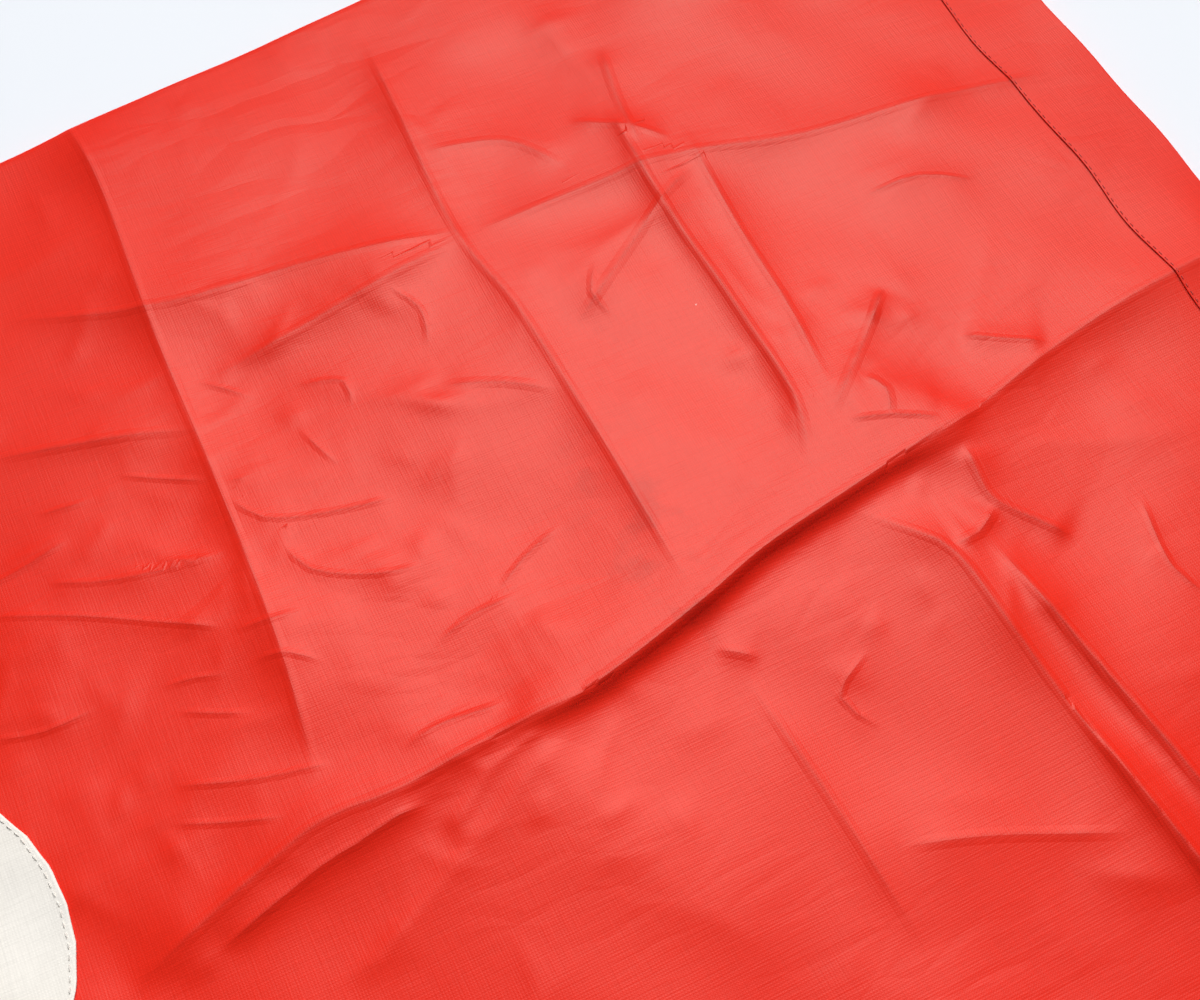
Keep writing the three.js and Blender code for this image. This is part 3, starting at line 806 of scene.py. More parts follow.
def spring_steel():
    return rolled_metal("blued_spring_steel", colours().steel, 0.35, 0.4, "5B6068")


# ---------------------------------------------------------------- placing helpers

def sew_down(piece, node_name, body, slot, material, flat):
    """Gives a cloth piece its finish and its body, and hides the CAD node it stands for; its cut size is
    not used.
    """
    piece.data.materials.append(material)
    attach(piece, body)
    if node_name:
        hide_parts(node_name)


def grid_area(x, y):
    diagonals = (x[1:, 1:] - x[:-1, :-1]) * (y[:-1, 1:] - y[1:, :-1])
    others = (y[1:, 1:] - y[:-1, :-1]) * (x[:-1, 1:] - x[1:, :-1])
    return float(np.abs(diagonals - others).sum() / 2)


def cut_size(x, y):
    """Width and length of the rectangle that a piece is cut from, and the area of the cut."""
    width, length = float(np.ptp(y)), float(np.ptp(x))
    return (width, length), min(grid_area(x, y), width * length)


def outer_face(side, node_name, lie):
    """Height of a node's outer face: the right side lies in creases, the left side flat on the floor."""
    low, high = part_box(f"{node_name}_{side}")
    return high.z + lie.height if side == RIGHT else low.z + np.zeros(lie.shape)


SEAM_ROLL = 0.0028  # how far from the back and belly seams the cloth turns down to them


def roll_to_seam(z, y, x):
    """Brings a side's cloth to the middle of the stack at the back and belly seams."""
    inside = np.clip((half_height(x) - np.abs(y)) / SEAM_ROLL, 0, 1)
    return SEAM_Z + (z - SEAM_Z) * np.sqrt(1 - (1 - inside) ** 2)


# ---------------------------------------------------------------- panels, hems and seams

FINE_END = 0.600  # the head is gridded finely this far behind the mouth and below the back
FINE_STEP = 0.0024
CLOSE_STEP = 0.0012
# Where the head's grid is closer still, along the sharpest creases (mm behind the mouth)
CLOSE_DOWN = ((0.186, 0.232), (0.294, 0.314), (0.438, 0.456))
EDGE_WAVE, EDGE_WAVE_REACH = 0.0009, 0.02  # the back edge wanders this much, this far in
FOLD_BELOW = 0.350  # the large fold, below the back edge
CLOSE_BELOW = 0.010


def head_grid(side):
    fine = side == RIGHT
    step = FINE_STEP if fine else 0.010
    zones = [(low, high, CLOSE_STEP) for low, high in CLOSE_DOWN] if fine else []
    start, end = CHANNEL_X - MOUTH_X, HEAD_X - MOUTH_X
    u = graded(start, FINE_END, step, zones)[:-1]
    u = np.concatenate([u, graded(FINE_END, end, 0.012, edges=(0.0004, 0.0012, 0.0024))])
    zones = [(FOLD_BELOW - CLOSE_BELOW, FOLD_BELOW + CLOSE_BELOW, CLOSE_STEP)] if fine else []
    below = graded(0.0, FINE_END, step, zones)[:-4]
    share = graded(0.0, 1.0, 0.06, edges=(0.015, 0.02, 0.03))
    x = np.broadcast_to((MOUTH_X + u)[:, None], (len(u), len(below) + len(share))).copy()
    half = half_height(MOUTH_X + u)[:, None]
    rest = 2 * half - FINE_END
    wave = EDGE_WAVE * (np.sin(21 * u) + 0.6 * np.sin(47 * u + 1))[:, None]
    d = np.concatenate([np.broadcast_to(below, (len(u), len(below))), FINE_END + rest * share], axis=1)
    if fine:
        line = smooth_line(LARGE_FOLD) * MM
        v = np.interp(u, line[:, 0], line[:, 1])
        offset = v - (MOUTH_HALF - half[:, 0]) - FOLD_BELOW
        d = d + offset[:, None] * np.exp(-((d - FOLD_BELOW) / 0.06) ** 2)
    return x, d - half + wave * np.exp(-d / EDGE_WAVE_REACH)


def tube_grid(x0, x1, step):
    x = graded(x0, x1, step)
    share = graded(0.0, 1.0, 0.02, edges=(0.0007, 0.002, 0.0045))
    half = half_height(x)[:, None]
    return np.broadcast_to(x[:, None], (len(x), len(share))).copy(), half * (2 * share[None, :] - 1)


def build_panel(name, side, x, y):
    lie = Lie(x, y)
    z = roll_to_seam(outer_face(side, name, lie), y, x)
    piece = single_sheet(f"{name}_{side}_cloth", x, y, z, WAY[side], lie)
    body = "rear" if name == "rear_panel" else "front"
    flat, area = cut_size(x, y)
    sew_down(piece, f"{name}_{side}", body, "red_cotton", red_cotton(), flat)


class STREAMER_OT_head(bpy.types.Operator):
    """Builds the two head panels, with their storage creases."""

    bl_idname = "streamer.head"
    bl_label = "Head panels"
    bl_options = {"REGISTER", "UNDO"}

    def execute(self, context):
        for side in SIDES:
            build_panel("head_panel", side, *head_grid(side))
        return {"FINISHED"}


class STREAMER_OT_body(bpy.types.Operator):
    """Builds the body and rear panels of both sides."""

    bl_idname = "streamer.body"
    bl_label = "Body panels"
    bl_options = {"REGISTER", "UNDO"}

    def execute(self, context):
        for name in ("body_panel", "rear_panel"):
            for side in SIDES:
                low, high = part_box(f"{name}_{side}")
                build_panel(name, side, *tube_grid(low.x, high.x, 0.009))
        return {"FINISHED"}


def hem_section(side):
    """Closed outline of the folded hem: (distance behind the mouth, layer share, height)."""
    hem_low, hem_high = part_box(f"mouth_hem_{side}")[0].z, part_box(f"mouth_hem_{side}")[1].z
    cloth, width = sizes().cloth, HEM_X - MOUTH_X
    top, bottom = (hem_high, hem_low) if side == RIGHT else (hem_low, hem_high)
    way = WAY[side]
    radius = abs(top - bottom) / 2
    middle = (top + bottom) / 2
    stations = graded(radius, width, 0.0024, edges=(0.0004, 0.0010))
    outline = [(u, 1.0, top) for u in stations[::-1]]
    for angle in np.linspace(0, math.pi, 7)[1:-1]:
        outline.append((radius - radius * math.sin(angle), (1 + math.cos(angle)) / 2,
                        middle + way * radius * math.cos(angle)))
    outline += [(u, 0.0, bottom) for u in stations[::4]]
    inner = [(u, 0.0, bottom + way * cloth) for u in stations[::4]][::-1]
    for angle in np.linspace(math.pi, 0, 7)[1:-1]:
        r = radius - cloth
        inner.append((radius - r * math.sin(angle), (1 + math.cos(angle)) / 2,
                      middle + way * r * math.cos(angle)))
    inner += [(u, 1.0, top - way * cloth) for u in stations]
    return np.array(outline + inner)


def build_hem(side):
    section = hem_section(side)
    share = graded(0.0, 1.0, 0.003, edges=(0.0006, 0.0016, 0.0032))
    x = np.broadcast_to(MOUTH_X + section[None, :, 0], (len(share), len(section))).copy()
    ripple = 0.0009 * np.sin(share * 37) + 0.0005 * np.sin(share * 91 + 1)
    front = np.abs(smoothstep(0.0, 0.040, section[:, 0]) * 2 - 0.8)
    y = (2 * share[:, None] - 1) * half_height(x)
    lie = Lie(x, y)
    z = section[None, :, 2] + np.where(side == RIGHT, lie.height * section[None, :, 1], 0.0)
    z = roll_to_seam(z, y, x)
    x = x + ripple[:, None] * front[None, :]
    points = np.stack([x, y, z], axis=-1).reshape(-1, 3)
    rows, columns = x.shape
    index = np.arange(rows * columns).reshape(rows, columns)
    ahead = np.roll(index, -1, axis=1)
    faces = np.stack([index[:-1], index[1:], ahead[1:], ahead[:-1]], axis=-1).reshape(-1, 4)
    outer = section[:, 1] == 1.0
    first = points[faces[: columns // 4]]
    lean = np.cross(first[:, 2] - first[:, 0], first[:, 3] - first[:, 1])[:, 2].sum()
    if lean * WAY[side] < 0:
        faces = faces[:, ::-1]
    grain = np.column_stack([points[:, 0], points[:, 1]])
    piece = finish_mesh(f"mouth_hem_{side}_cloth", points, faces, grain, lie, math.radians(50))
    face = np.flatnonzero(outer[: len(outer) // 2])
    column = face[np.argmin(np.abs(section[face, 0] - (HEM_X - MOUTH_X - 0.0012)))]
    path = np.stack([x[:, column], y[:, column], z[:, column]], axis=-1)[4:-4]
    paths = [path - np.array([0, 0, WAY[side] * sizes().thread / 5])]
    sewn = stitches(f"hem_stitches_{side}", paths, WAY[side], "front", "red_cotton", red_thread())
    flat = (2 * (HEM_X - MOUTH_X), 2 * MOUTH_HALF)
    sew_down(piece, f"mouth_hem_{side}", "front", "red_cotton", red_cotton(), flat)


class STREAMER_OT_hems(bpy.types.Operator):
    """Builds the folded mouth hems and their rows of stitches."""

    bl_idname = "streamer.hems"
    bl_label = "Mouth hems"
    bl_options = {"REGISTER", "UNDO"}

    def execute(self, context):
        for side in SIDES:
            build_hem(side)
        return {"FINISHED"}


# Cross seams: the panel in front, the panel behind, and the bodies on both sides
CROSS_SEAMS = {
    "neck": (HEAD_X, "front", "front"),
    "body": (BODY_X, "front", "rear"),
    "tail": (ROOT_X, "rear", "tail"),
}
SEAM_RISE = 0.0006


def build_cross_seam(name, side):
    end_x, ahead, behind = CROSS_SEAMS[name]
    middle = end_x + SEAM_GAP / 2
    width = sizes().seam
    half = half_height(middle) - 0.0015
    way = WAY[side]
    s = graded(0.0, width, 0.002, edges=(0.0004, 0.001))
    t = unit_stations(2 * half, 0.008)
    x = np.broadcast_to((middle - width / 2 + s)[:, None], (len(s), len(t))).copy()
    y = np.broadcast_to((half * (2 * t - 1))[None, :], x.shape).copy()
    lie = Lie(x, y)
    z = roll_to_seam(outer_face(side, "body_panel", lie) + way * SEAM_RISE, y, x)
    piece, top = thick_sheet(f"{name}_seam_{side}", x, y, z, way, sizes().cloth, lie, turned=False)
    rows = [int(np.argmin(np.abs(s - inset))) for inset in (0.0024, width - 0.0024)]
    paths = [np.stack([x[r], y[r], top[r] + way * sizes().thread / 4], axis=-1)[3:-3] for r in rows]
    for row, path, body in zip(("front", "rear"), paths, (ahead, behind)):
        stitches(f"{name}_seam_stitches_{row}_{side}", [path], way, body, "red_cotton", red_thread())
    piece.data.materials.append(red_cotton())
    if ahead == behind:
        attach(piece, ahead)
    else:
        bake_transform(piece)


class STREAMER_OT_seams(bpy.types.Operator):
    """Builds the felled seams across the body, two of which lie at the storage folds."""

    bl_idname = "streamer.seams"
    bl_label = "Cross seams"
    bl_options = {"REGISTER", "UNDO"}

    def execute(self, context):
        for name in CROSS_SEAMS:
            for side in SIDES:
                build_cross_seam(name, side)
        return {"FINISHED"}


# ---------------------------------------------------------------- pieces sewn on top

def sewn_on(name, side, x, y, body, slot, material, thread, step_share=1.0, turned=True,
            flat=None):
    """A sewn-on piece of cloth with a turned edge and a row of stitches inside it."""
    lie = Lie(x, y)
    z = outer_face(side, name, lie)
    thickness = sizes().cloth + (0.0001 if turned else 0)
    piece, top = thick_sheet(f"{name}_{side}_cloth", x, y, z, WAY[side], thickness, lie, turned)
    ring = inset_path(x, y, top, sizes().inset, WAY[side])
    sewn = stitches(f"{name}_{side}_stitches", [ring], WAY[side], body, slot, thread, step_share)
    box, area = cut_size(x, y)
    flat = flat or box
    area = min(area, flat[0] * flat[1])
    sew_down(piece, f"{name}_{side}", body, slot, material, flat)


def disc_grid(cx, cy, radius, step, facets=0, wobble=0.0):
    """A round piece, whose turned edge is slightly faceted where it was folded by hand."""
    def arc(quarter, back=False):
        def curve(t):
            share = 1 - np.asarray(t) if back else np.asarray(t)
            angle = (quarter + share) * math.pi / 2 - 3 * math.pi / 4
            r = radius
            if facets:
                phase = (angle * facets / (2 * math.pi)) % 1 - 0.5
                half = math.pi / facets
                flat = math.cos(half) / np.cos(2 * half * phase)
                r = radius * (1 - wobble * (1 - flat) / (1 - math.cos(half)))
            return np.stack([cx + r * np.cos(angle), cy + r * np.sin(angle)], axis=-1)
        return curve
    stations = unit_stations(radius * math.pi / 2, step)
    return coons(arc(0), arc(2, True), arc(3, True), arc(1), stations, stations)


class STREAMER_OT_eyes(bpy.types.Operator):
    """Builds the whites of the eyes and the pupils."""

    bl_idname = "streamer.eyes"
    bl_label = "Eyes"
    bl_options = {"REGISTER", "UNDO"}

    def execute(self, context):
        for side in SIDES:
            for name, slot, material, facets, step in (
                ("eye_white", "white_cotton", white_cotton(), 34, 0.0034),
                ("eye_pupil", "black_cotton", black_cotton(), 18, 0.0034),
            ):
                low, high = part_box(f"{name}_{side}")
                centre, radius = (low + high) / 2, (high.x - low.x) / 2
                x, y = disc_grid(centre.x, centre.y, radius, step, facets, 0.006)
                lie = Lie(x, y)
                z = outer_face(side, name, lie)
                if name == "eye_pupil":
                    z = z + WAY[side] * 0.0004 * (side == RIGHT)
                thickness = sizes().cloth
                piece, top = thick_sheet(f"{name}_{side}_cloth", x, y, z, WAY[side], thickness, lie)
                ring = inset_path(x, y, top, sizes().inset, WAY[side])
                thread = white_thread() if name == "eye_white" else black_cotton()
                sewn = stitches(f"{name}_{side}_stitches", [ring], WAY[side], "front", slot, thread)
                flat, area = cut_size(x, y)
                sew_down(piece, f"{name}_{side}", "front", slot, material, flat)
        return {"FINISHED"}


GILL_INNER_BULGE = 0.067
GILL_TIP = 0.0015  # half width of the blunt tips
GILL_CURVE = 1.14  # a gill cover measured along its curve, against straight across


def bulged(tip_x, half, bulge):
    """A circular arc on the chord from (tip_x, -half) to (tip_x, half), bulging to the tail."""
    radius = (half**2 + bulge**2) / (2 * bulge)
    reach = math.asin(half / radius)

    def curve(t):
        angle = reach * (2 * np.asarray(t) - 1)
        x = tip_x + bulge - radius + radius * np.cos(angle)
        return np.stack([x, radius * np.sin(angle)], axis=-1)
    return curve


class STREAMER_OT_gills(bpy.types.Operator):
    """Builds the two gill covers."""

    bl_idname = "streamer.gills"
    bl_label = "Gill covers"
    bl_options = {"REGISTER", "UNDO"}

    def execute(self, context):
        for side in SIDES:
            low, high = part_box(f"gill_cover_{side}")
            half = high.y
            outer = bulged(low.x, half, high.x - low.x)
            inner = bulged(low.x, half - 2 * GILL_TIP, GILL_INNER_BULGE)
            ends = [straight(inner(np.array([e]))[0], outer(np.array([e]))[0]) for e in (0.0, 1.0)]
            t = unit_stations(2 * half, 0.006)
            s = unit_stations(high.x - low.x - GILL_INNER_BULGE, 0.004)
            x, y = coons(ends[0], ends[1], inner, outer, s, t)
            strip = (high.x - low.x - GILL_INNER_BULGE, 2 * half * GILL_CURVE)
            sewn_on("gill_cover", side, x, y, "front", "white_cotton", white_cotton(), white_thread(),
                    flat=strip)
        return {"FINISHED"}


ROWS_PER_PANEL = 4
SCALE_WIDTH = 0.088
SCALE_BULGE = 0.034
SCALE_SEAM_MARGIN = 0.020
SCALE_POINTS = 14  # per scale, along a row


def scale_edge(x, row):
    """Rear edge of a row of scales: half ellipses side by side, odd rows shifted by half a scale."""
    half = half_height(x) - SCALE_SEAM_MARGIN
    count = round(2 * half / SCALE_WIDTH)
    shift = 0.5 if row % 2 else 0.0

    def curve(t):
        across = np.asarray(t) * count
        phase = (across + shift) % 1
        bulge = SCALE_BULGE * np.sqrt(np.maximum(0, 1 - (2 * phase - 1) ** 2))
        return np.stack([x + bulge - SCALE_BULGE, half * (2 * across / count - 1)], axis=-1)
    return curve, count


class STREAMER_OT_scales(bpy.types.Operator):
    """Builds the eight rows of scales on each side."""

    bl_idname = "streamer.scales"
    bl_label = "Scales"
    bl_options = {"REGISTER", "UNDO"}

    def execute(self, context):
        for side in SIDES:
            for panel, body in enumerate(("front", "rear")):
                first = panel * ROWS_PER_PANEL
                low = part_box(f"scale_row_{first + 1}_{side}")[0]
                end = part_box(f"scale_row_{first + ROWS_PER_PANEL}_{side}")[1].x
                length = (end - low.x) / ROWS_PER_PANEL
                half = -low.y
                front = straight((low.x, -half), (low.x, half))
                for i in range(ROWS_PER_PANEL):
                    edge, count = scale_edge(low.x + (i + 1) * length, first + i)
                    self.build_row(side, body, first + i, front, edge, count, length)
                    front = self.shifted(edge)
        return {"FINISHED"}

    @staticmethod
    def shifted(edge):
        return lambda t: edge(t) + np.array([SEAM_GAP, 0.0])

    @staticmethod
    def build_row(side, body, row, front, edge, count, length):
        t = np.linspace(0, 1, count * SCALE_POINTS + 1)
        t = np.unique(np.concatenate([t, [0.0005, 0.0015, 0.004, 0.996, 0.9985, 0.9995]]))
        s = unit_stations(length, 0.009)
        ends = [straight(front(np.array([e]))[0], edge(np.array([e]))[0]) for e in (0.0, 1.0)]
        x, y = coons(ends[0], ends[1], front, edge, s, t)
        sewn_on(f"scale_row_{row + 1}", side, x, y, body, "scale_cotton", deep_red_cotton(),
                white_thread(), step_share=1.7, turned=False)


def fin_sides(root, reach):
    """Four sides of a fin: s runs along the sewn root, d away from it."""
    front = quadratic((0, 0), (0.1 * root, 0.75 * reach), (0.45 * root, reach))
    tip = quadratic((0.45 * root, reach), (0.75 * root, 1.02 * reach), (0.95 * root, 0.72 * reach))
    rear = quadratic((root, 0), (0.88 * root, 0.3 * reach), (0.95 * root, 0.72 * reach))
    return straight((0, 0), (root, 0)), tip, front, rear


FIN_STEP = 0.006
FIN_GAP = 0.0006
FIN_RIBS = 5


def fin_grid(root, reach):
    bottom, tip, front, rear = fin_sides(root, reach)
    s, t = unit_stations(root, FIN_STEP), unit_stations(reach, FIN_STEP)
    return coons(bottom, tip, front, rear, s, t)


def rib_height(s, d, root, reach):
    """Soft flutes that fan out from a fin's root."""
    fan = np.sin(2 * math.pi * FIN_RIBS * s / root)
    return 0.0006 * (1 + fan) / 2 * smoothstep(0.1 * reach, 0.6 * reach, d)


def build_fin(name, body, place, s, d, root, reach, base, way, rise, stack_z):
    """A fin, its rows of stitches, and the binding over its root."""
    x, y = place(s, d)
    height = rib_height(s, d, root, reach) + rise * np.exp(-d / 0.008)
    z = base + way * height
    lie = Lie(x, y)
    piece, top = thick_sheet(f"{name}_cloth", x, y, z, way, sizes().cloth, lie)
    ring = inset_path(x, y, top, sizes().inset, way)
    ribs = []
    for k in range(1, FIN_RIBS):
        column = int(np.argmin(np.abs(s[:, 0] / root - k / FIN_RIBS)))
        path = np.stack([x[column], y[column], top[column] + way * sizes().thread / 4], axis=-1)
        ribs.append(path[6:int(0.85 * len(path))])
    sewn = stitches(f"{name}_stitches", [ring] + ribs, way, body, "white_cotton", white_thread())
    flat, area = cut_size(s, d)
    sew_down(piece, name, body, "white_cotton", white_cotton(), flat)
    build_binding(name, place, root, way, stack_z)


def build_binding(name, place, root, way, stack_z):
    """A strip of red tape over a fin's root: one side lies at the body's height, the other at the fin's.
    """
    width = sizes().binding
    a = np.linspace(0, root, int(root / 0.01) + 2)
    b = graded(-width / 2, width / 2, 0.0015, edges=(0.0004, 0.001))
    s, d = np.meshgrid(a, b, indexing="ij")
    x, y = place(s, d)
    body_z, fin_z = stack_z
    z = body_z + (fin_z - body_z) * smoothstep(-width / 3, width / 3, d)
    piece, _ = thick_sheet(f"{name}_binding", x, y, z, way, sizes().cloth, None, turned=False)
    piece.data.materials.append(red_cotton())
    ends = [place(np.array([root / 2]), np.array([k * width / 3])) for k in (-1, 1)]
    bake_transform(piece)


# Fins sewn into a seam: parent body, seam, root, reach, start behind the mouth
SEAM_FINS = {
    "dorsal_fin": ("front", BACK, 1.180, 0.760, 0.120),
    "anal_fin": ("rear", BELLY, 2.520, 0.220, 0.110),
    "pelvic_fin_left": ("front", BELLY, 1.500, 0.200, 0.130),
    "pelvic_fin_right": ("front", BELLY, 1.500, 0.200, 0.130),
}
ROOT_RISE = 0.0009  # how far a fin climbs from the floor to its seam


class STREAMER_OT_fins(bpy.types.Operator):
    """Builds the dorsal, anal and pelvic fins, which hinge on the back and belly seams."""

    bl_idname = "streamer.fins"
    bl_label = "Seam fins"
    bl_options = {"REGISTER", "UNDO"}

    def execute(self, context):
        for name, (parent, way, u, root, reach) in SEAM_FINS.items():
            start = Vector((MOUTH_X + u, way * (half_height(MOUTH_X + u) + FIN_GAP)))
            last = Vector((MOUTH_X + u + root, way * (half_height(MOUTH_X + u + root) + FIN_GAP)))
            along = (last - start).normalized()
            out = Vector((-along.y * way, along.x * way))

            def place(s, d, start=start, along=along, out=out):
                return start.x + along.x * s + out.x * d, start.y + along.y * s + out.y * d
            s, d = fin_grid(root, reach)
            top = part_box(name)[1].z
            stack = (SEAM_Z + 0.0008, top + ROOT_RISE + 0.0004)
            build_fin(name, name, place, s, d, root, reach, top, 1, ROOT_RISE, stack)
        return {"FINISHED"}


class STREAMER_OT_pectorals(bpy.types.Operator):
    """Builds the two pectoral fins, flaps that are sewn to the sides along their front edge."""

    bl_idname = "streamer.pectorals"
    bl_label = "Pectoral fins"
    bl_options = {"REGISTER", "UNDO"}

    def execute(self, context):
        for side in SIDES:
            name = f"pectoral_fin_{side}"
            low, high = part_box(name)
            root, reach = high.y - low.y, high.x - low.x
            way = WAY[side]

            def place(s, d, low=low):
                return low.x + d, low.y + s
            s, d = fin_grid(root, reach)
            outer = high.z if side == RIGHT else low.z
            lie = Lie(*place(s, d))
            base = outer + (lie.height + 0.0003 if side == RIGHT else 0.0)
            step = 0.0005 if side == RIGHT else 0.0
            z_body = outer + way * step
            build_fin(name, name, place, s, d, root, reach, base, way, 0.0,
                      (z_body, z_body))
        return {"FINISHED"}


TIP_HALF = 0.310
TIP_ROUND = 0.090
FORK_DEPTH = 0.300


class STREAMER_OT_tail(bpy.types.Operator):
    """Builds the lobes of the tail on both sides, with their hems."""

    bl_idname = "streamer.tail"
    bl_label = "Tail lobes"
    bl_options = {"REGISTER", "UNDO"}

    def execute(self, context):
        end_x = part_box("tail_lobe_back_right")[1].x
        root_x = ROOT_X + SEAM_GAP
        half, middle = half_height(root_x), SEAM_GAP / 2
        tip_x, fork_x = end_x - TIP_ROUND, end_x - FORK_DEPTH
        root = straight((root_x, middle), (root_x, half))
        outer = quadratic((root_x, half), ((root_x + tip_x) / 2, 1.05 * half), (tip_x, TIP_HALF))
        corner = (end_x, 0.86 * TIP_HALF)
        tip = quadratic((tip_x, TIP_HALF), (end_x, 1.03 * TIP_HALF), corner)
        fork = quadratic((fork_x, middle), (tip_x, 0.35 * TIP_HALF), corner)
        tip_back = quadratic(corner, (end_x, 1.03 * TIP_HALF), (tip_x, TIP_HALF))
        rear = joined(fork, tip_back, 0.72)
        inner = straight((root_x, middle), (fork_x, middle))
        s, t = unit_stations(fork_x - root_x, 0.010), unit_stations(TIP_HALF, 0.008)
        x, flat_y = coons(inner, outer, root, rear, s, t)
        for side in SIDES:
            for lobe, way in (("tail_lobe_back", BACK), ("tail_lobe_belly", BELLY)):
                y = way * flat_y
                lie = Lie(x, y)
                z = outer_face(side, lobe, lie)
                name = f"{lobe}_{side}"
                piece, top = thick_sheet(f"{name}_cloth", x, y, z, WAY[side], sizes().cloth, lie)
                ring = inset_path(x, y, top, 0.006, WAY[side])
                sewn = stitches(f"{name}_stitches", [ring], WAY[side], "tail", "red_cotton",
                                red_thread(), 1.5)
                flat, area = cut_size(x, y)
                sew_down(piece, name, "tail", "red_cotton", red_cotton(), flat)
        return {"FINISHED"}


# ---------------------------------------------------------------- metalwork and tapes

EYELET_SIDES = 48


def eyelet_section(bore, flange, outer, inner, dome):
    """Points (radius, height) round the section of an eyelet, drawn with the flange upwards."""
    wall = 0.0007
    return [
        (bore, inner), (bore, outer + 0.3 * dome), (bore + 0.3 * wall, outer + 0.8 * dome),
        (bore + 0.9 * wall, outer + dome), ((bore + flange) / 2, outer + 0.85 * dome),
        (flange - 1.2 * wall, outer + 0.55 * dome), (flange - 0.3 * wall, outer + 0.25 * dome),
        (flange, outer - 0.0001), (flange - 0.5 * wall, outer - 0.0003), (bore + wall, outer - 0.0003),
        (bore + wall, inner), (bore + 0.5 * wall, inner - 0.0002),
    ]


def turned_piece(name, centre, section):
    """Turns a closed section into a ring: a circle is extruded, raised and scaled point by point."""
    bpy.ops.object.select_all(action="DESELECT")
    first_radius, first_z = section[0]
    bpy.ops.mesh.primitive_circle_add(vertices=EYELET_SIDES, radius=first_radius, fill_type="NOTHING",
                                      location=(centre.x, centre.y, first_z))
    ring = bpy.context.object
    ring.name = ring.data.name = name
    bpy.ops.object.mode_set(mode="EDIT")
    bpy.ops.mesh.select_all(action="SELECT")
    radius, z = first_radius, first_z
    for next_radius, next_z in section[1:] + section[:1]:
        bpy.ops.mesh.extrude_region_move(TRANSFORM_OT_translate={"value": (0, 0, next_z - z)})
        grow = next_radius / radius
        bpy.ops.transform.resize(value=(grow, grow, 1), center_override=(centre.x, centre.y, next_z))
        radius, z = next_radius, next_z
    bpy.ops.mesh.select_all(action="SELECT")
    bpy.ops.mesh.remove_doubles(threshold=0.00001)
    bpy.ops.mesh.normals_make_consistent(inside=False)
    bpy.ops.object.mode_set(mode="OBJECT")
    bpy.ops.object.transform_apply(location=True, rotation=True, scale=True)
    bpy.ops.object.shade_smooth_by_angle(angle=math.radians(35))
    return ring


class STREAMER_OT_eyelets(bpy.types.Operator):
    """Builds the four brass eyelets, with rolled flanges, and finishes their washers."""

    bl_idname = "streamer.eyelets"
    bl_label = "Eyelets"
    bl_options = {"REGISTER", "UNDO"}

    def execute(self, context):
        for side in SIDES:
            way = WAY[side]
            for place in ("back", "side"):
                name = f"eyelet_{place}_{side}"
                low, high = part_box(name)
                centre, flange = (low + high) / 2, (high.x - low.x) / 2
                bore = flange / 2
                outer, inner = (high.z, low.z) if side == RIGHT else (low.z, high.z)
                dome = 0.0007 if side == RIGHT else 0.0
                section = eyelet_section(bore, flange, 0.0, -abs(outer - inner), dome)
                lift = 0.0003 if side == RIGHT else 0.0
                section = [(r, outer + way * (z + lift)) for r, z in section]
                ring = turned_piece(f"{name}_ring", centre, section)
                ring.data.materials.append(pressed_brass())
                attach(ring, "front")
                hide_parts(name)
                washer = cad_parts[f"eyelet_washer_{place}_{side}"]
                washer.data.materials.clear()
                washer.data.materials.append(pressed_brass())
        return {"FINISHED"}


class STREAMER_OT_hoop(bpy.types.Operator):
    """Finishes the steel hoop in the mouth and its clips."""

    bl_idname = "streamer.hoop"
    bl_label = "Hoop"
    bl_options = {"REGISTER", "UNDO"}

    def execute(self, context):
        for name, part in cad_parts.items():
            if name.startswith("hoop_"):
                part.data.materials.clear()
                part.data.materials.append(spring_steel())
        return {"FINISHED"}


TAPE_INSET, TAPE_WIDTH = 0.002, 0.012  # from the back or belly seam to a tape, and its width


class STREAMER_OT_tapes(bpy.types.Operator):
    """Builds the cotton tapes inside the back and belly seams."""

    bl_idname = "streamer.tapes"
    bl_label = "Tapes"
    bl_options = {"REGISTER", "UNDO"}

    def execute(self, context):
        for seam, way in (("back", BACK), ("belly", BELLY)):
            for part in ("front", "rear"):
                name = f"{seam}_tape_{part}"
                low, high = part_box(name)
                along = graded(low.x, high.x, 0.02)
                across = graded(0.0, TAPE_WIDTH, 0.003, edges=(0.0004, 0.001))
                x = np.broadcast_to(along[:, None], (len(along), len(across))).copy()
                y = way * (half_height(x) - TAPE_INSET - across)
                thickness = high.z - low.z
                z = np.full(x.shape, high.z)
                piece, _ = thick_sheet(f"{name}_cloth", x, y, z, 1, thickness, turned=False)
                flat = (TAPE_WIDTH, high.x - low.x)
                sew_down(piece, name, part, "cotton_tape", tape_cotton(), flat)
        return {"FINISHED"}


# ---------------------------------------------------------------- stage

# The camera stands over the head, beside the back end of the mouth: offset from that corner
CAMERA_OFFSET = Vector((0.4584, 0.6334, 0.5774))
CAMERA_HEADING = Vector((-0.4415, -0.8973))
CAMERA_PITCH = math.radians(60)
FOCAL_LENGTH = 50.0
SENSOR_WIDTH = 36.0
LIGHT_FROM = Vector((-0.74, -0.67, 0.75))  # towards the key light, which shapes the creases
SOFT_FROM = Vector((-0.33, -0.62, 1.20))  # towards the broad soft light
KEY_STRENGTH, SOFT_STRENGTH, WINDOW_POWER, ROOM_GLOW = 1.0, 2.4, 8.0, 0.16
WINDOW_OFFSET = Vector((-0.13, -0.30, 1.20))  # from the back corner of the mouth, as the camera is
WINDOW_TARGET = Vector((0.20, 0.32, 0))
FLOOR_HALF = 40.0  # large enough to reach the horizon in a low view
FLOOR_GAP = 0.0004  # the floor lies this far under the cloth


def aim(piece, direction):
    piece.rotation_mode = "QUATERNION"
    piece.rotation_quaternion = Vector(direction).to_track_quat("-Z", "Y")


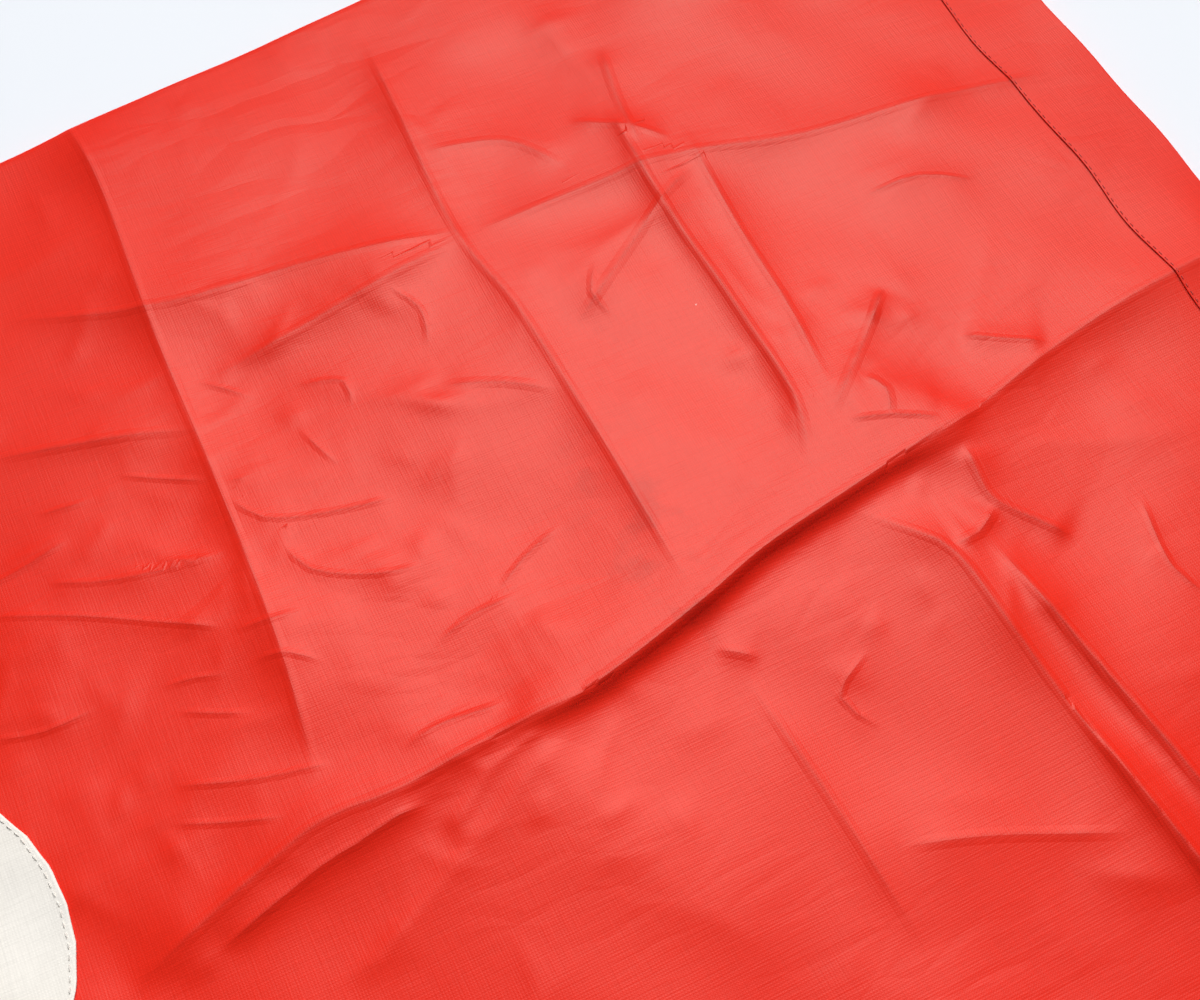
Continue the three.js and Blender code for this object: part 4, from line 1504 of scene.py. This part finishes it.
def add_light(name, kind, place, direction, energy, **settings):
    data = bpy.data.lights.new(name, kind)
    data.energy = energy
    for key, value in settings.items():
        setattr(data, key, value)
    light = bpy.data.objects.new(name, data)
    bpy.context.scene.collection.objects.link(light)
    light.location = place
    aim(light, direction)
    light.visible_camera = False
    return light


class STREAMER_OT_stage(bpy.types.Operator):
    """Sets up the pale floor, the soft light and the camera."""

    bl_idname = "streamer.stage"
    bl_label = "Stage"
    bl_options = {"REGISTER", "UNDO"}

    def execute(self, context):
        scene = context.scene
        scene.view_settings.view_transform = "Standard"
        self.build_camera(scene)
        self.build_floor()
        self.build_lights(scene)
        return {"FINISHED"}

    @staticmethod
    def build_camera(scene):
        data = bpy.data.cameras.new("camera")
        data.lens, data.sensor_width = FOCAL_LENGTH, SENSOR_WIDTH
        data.clip_start = 0.01
        camera = bpy.data.objects.new("camera", data)
        scene.collection.objects.link(camera)
        camera.location = Vector((MOUTH_X, -MOUTH_HALF, 0)) + CAMERA_OFFSET
        level = CAMERA_HEADING.normalized() * math.cos(CAMERA_PITCH)
        aim(camera, (level.x, level.y, -math.sin(CAMERA_PITCH)))
        scene.camera = camera

    @staticmethod
    def build_floor():
        level = CAD_BOX[0].z - FLOOR_GAP
        corners = ((-1, -1), (1, -1), (1, 1), (-1, 1))
        points = np.array([(a * FLOOR_HALF, b * FLOOR_HALF, level) for a, b in corners])
        floor = finish_mesh("floor", points, np.array([[0, 1, 2, 3]]), points[:, :2])
        material, tree = start_material("painted_pale_floor")
        place = node(tree, "ShaderNodeTexCoord").outputs["Object"]
        cloudy = node(tree, "ShaderNodeTexNoise", {"Vector": place, "Scale": 3.0, "Detail": 3.0})
        shade = node(tree, "ShaderNodeMapRange",
                     {"Value": cloudy.outputs["Fac"], "To Min": 0.98, "To Max": 1.02})
        tint = node(tree, "ShaderNodeVectorMath",
                    {0: list(colours().floor)[:3], "Scale": shade.outputs["Result"]}, operation="SCALE")
        shader = node(tree, "ShaderNodeBsdfPrincipled",
                      {"Base Color": tint.outputs["Vector"], "Roughness": 0.7})
        node(tree, "ShaderNodeOutputMaterial", {"Surface": shader.outputs["BSDF"]})
        floor.data.materials.append(material)

    @staticmethod
    def build_lights(scene):
        world = bpy.data.worlds.new("studio")
        scene.world = world
        world.use_nodes = True
        world.node_tree.nodes.clear()
        glow = node(world.node_tree, "ShaderNodeBackground",
                    {"Color": linear("F8FAFF"), "Strength": ROOM_GLOW})
        node(world.node_tree, "ShaderNodeOutputWorld", {"Surface": glow.outputs["Background"]})
        key = add_light("key", "SUN", (0, 0, 3), -LIGHT_FROM, KEY_STRENGTH, angle=math.radians(14))
        sky = add_light("sky", "SUN", (0, 0, 3), -SOFT_FROM, SOFT_STRENGTH,
                        angle=math.radians(45))
        key.visible_glossy = sky.visible_glossy = False
        corner = Vector((MOUTH_X, -MOUTH_HALF, 0))
        panel = corner + WINDOW_OFFSET
        target = corner + WINDOW_TARGET
        window = add_light("window", "AREA", panel, target - panel, WINDOW_POWER, shape="RECTANGLE",
                           size=0.85, size_y=0.6, spread=math.radians(100),
                           color=linear("FFF7E8")[:3])
        window.visible_diffuse = False  # it gives the head its gloss; the broad lights do the rest


# ---------------------------------------------------------------- panel, registration and main

BUILDERS = (
    STREAMER_OT_stage, STREAMER_OT_head, STREAMER_OT_body, STREAMER_OT_hems, STREAMER_OT_seams,
    STREAMER_OT_eyes, STREAMER_OT_gills, STREAMER_OT_scales, STREAMER_OT_fins, STREAMER_OT_pectorals,
    STREAMER_OT_tail, STREAMER_OT_tapes, STREAMER_OT_eyelets, STREAMER_OT_hoop,
)


class STREAMER_PT_panel(bpy.types.Panel):
    """Lists the streamer's builders, sizes and colours."""

    bl_label = "Carp streamer"
    bl_idname = "STREAMER_PT_panel"
    bl_space_type = "VIEW_3D"
    bl_region_type = "UI"
    bl_category = "Streamer"

    def draw(self, context):
        for builder in BUILDERS:
            self.layout.operator(builder.bl_idname)
        for group in (context.scene.streamer_sizes, context.scene.streamer_colours):
            for name in group.__annotations__:
                self.layout.prop(group, name)


CLASSES = (StreamerSizes, StreamerColours, *BUILDERS, STREAMER_PT_panel)


def register():
    for cls in CLASSES:
        bpy.utils.register_class(cls)
    bpy.types.Scene.streamer_sizes = PointerProperty(type=StreamerSizes)
    bpy.types.Scene.streamer_colours = PointerProperty(type=StreamerColours)


def unregister():
    del bpy.types.Scene.streamer_colours
    del bpy.types.Scene.streamer_sizes
    for cls in reversed(CLASSES):
        bpy.utils.unregister_class(cls)


def main():
    register()
    for builder in BUILDERS:
        group, name = builder.bl_idname.split(".")
        getattr(getattr(bpy.ops, group), name)()


if __name__ == "__main__":
    main()
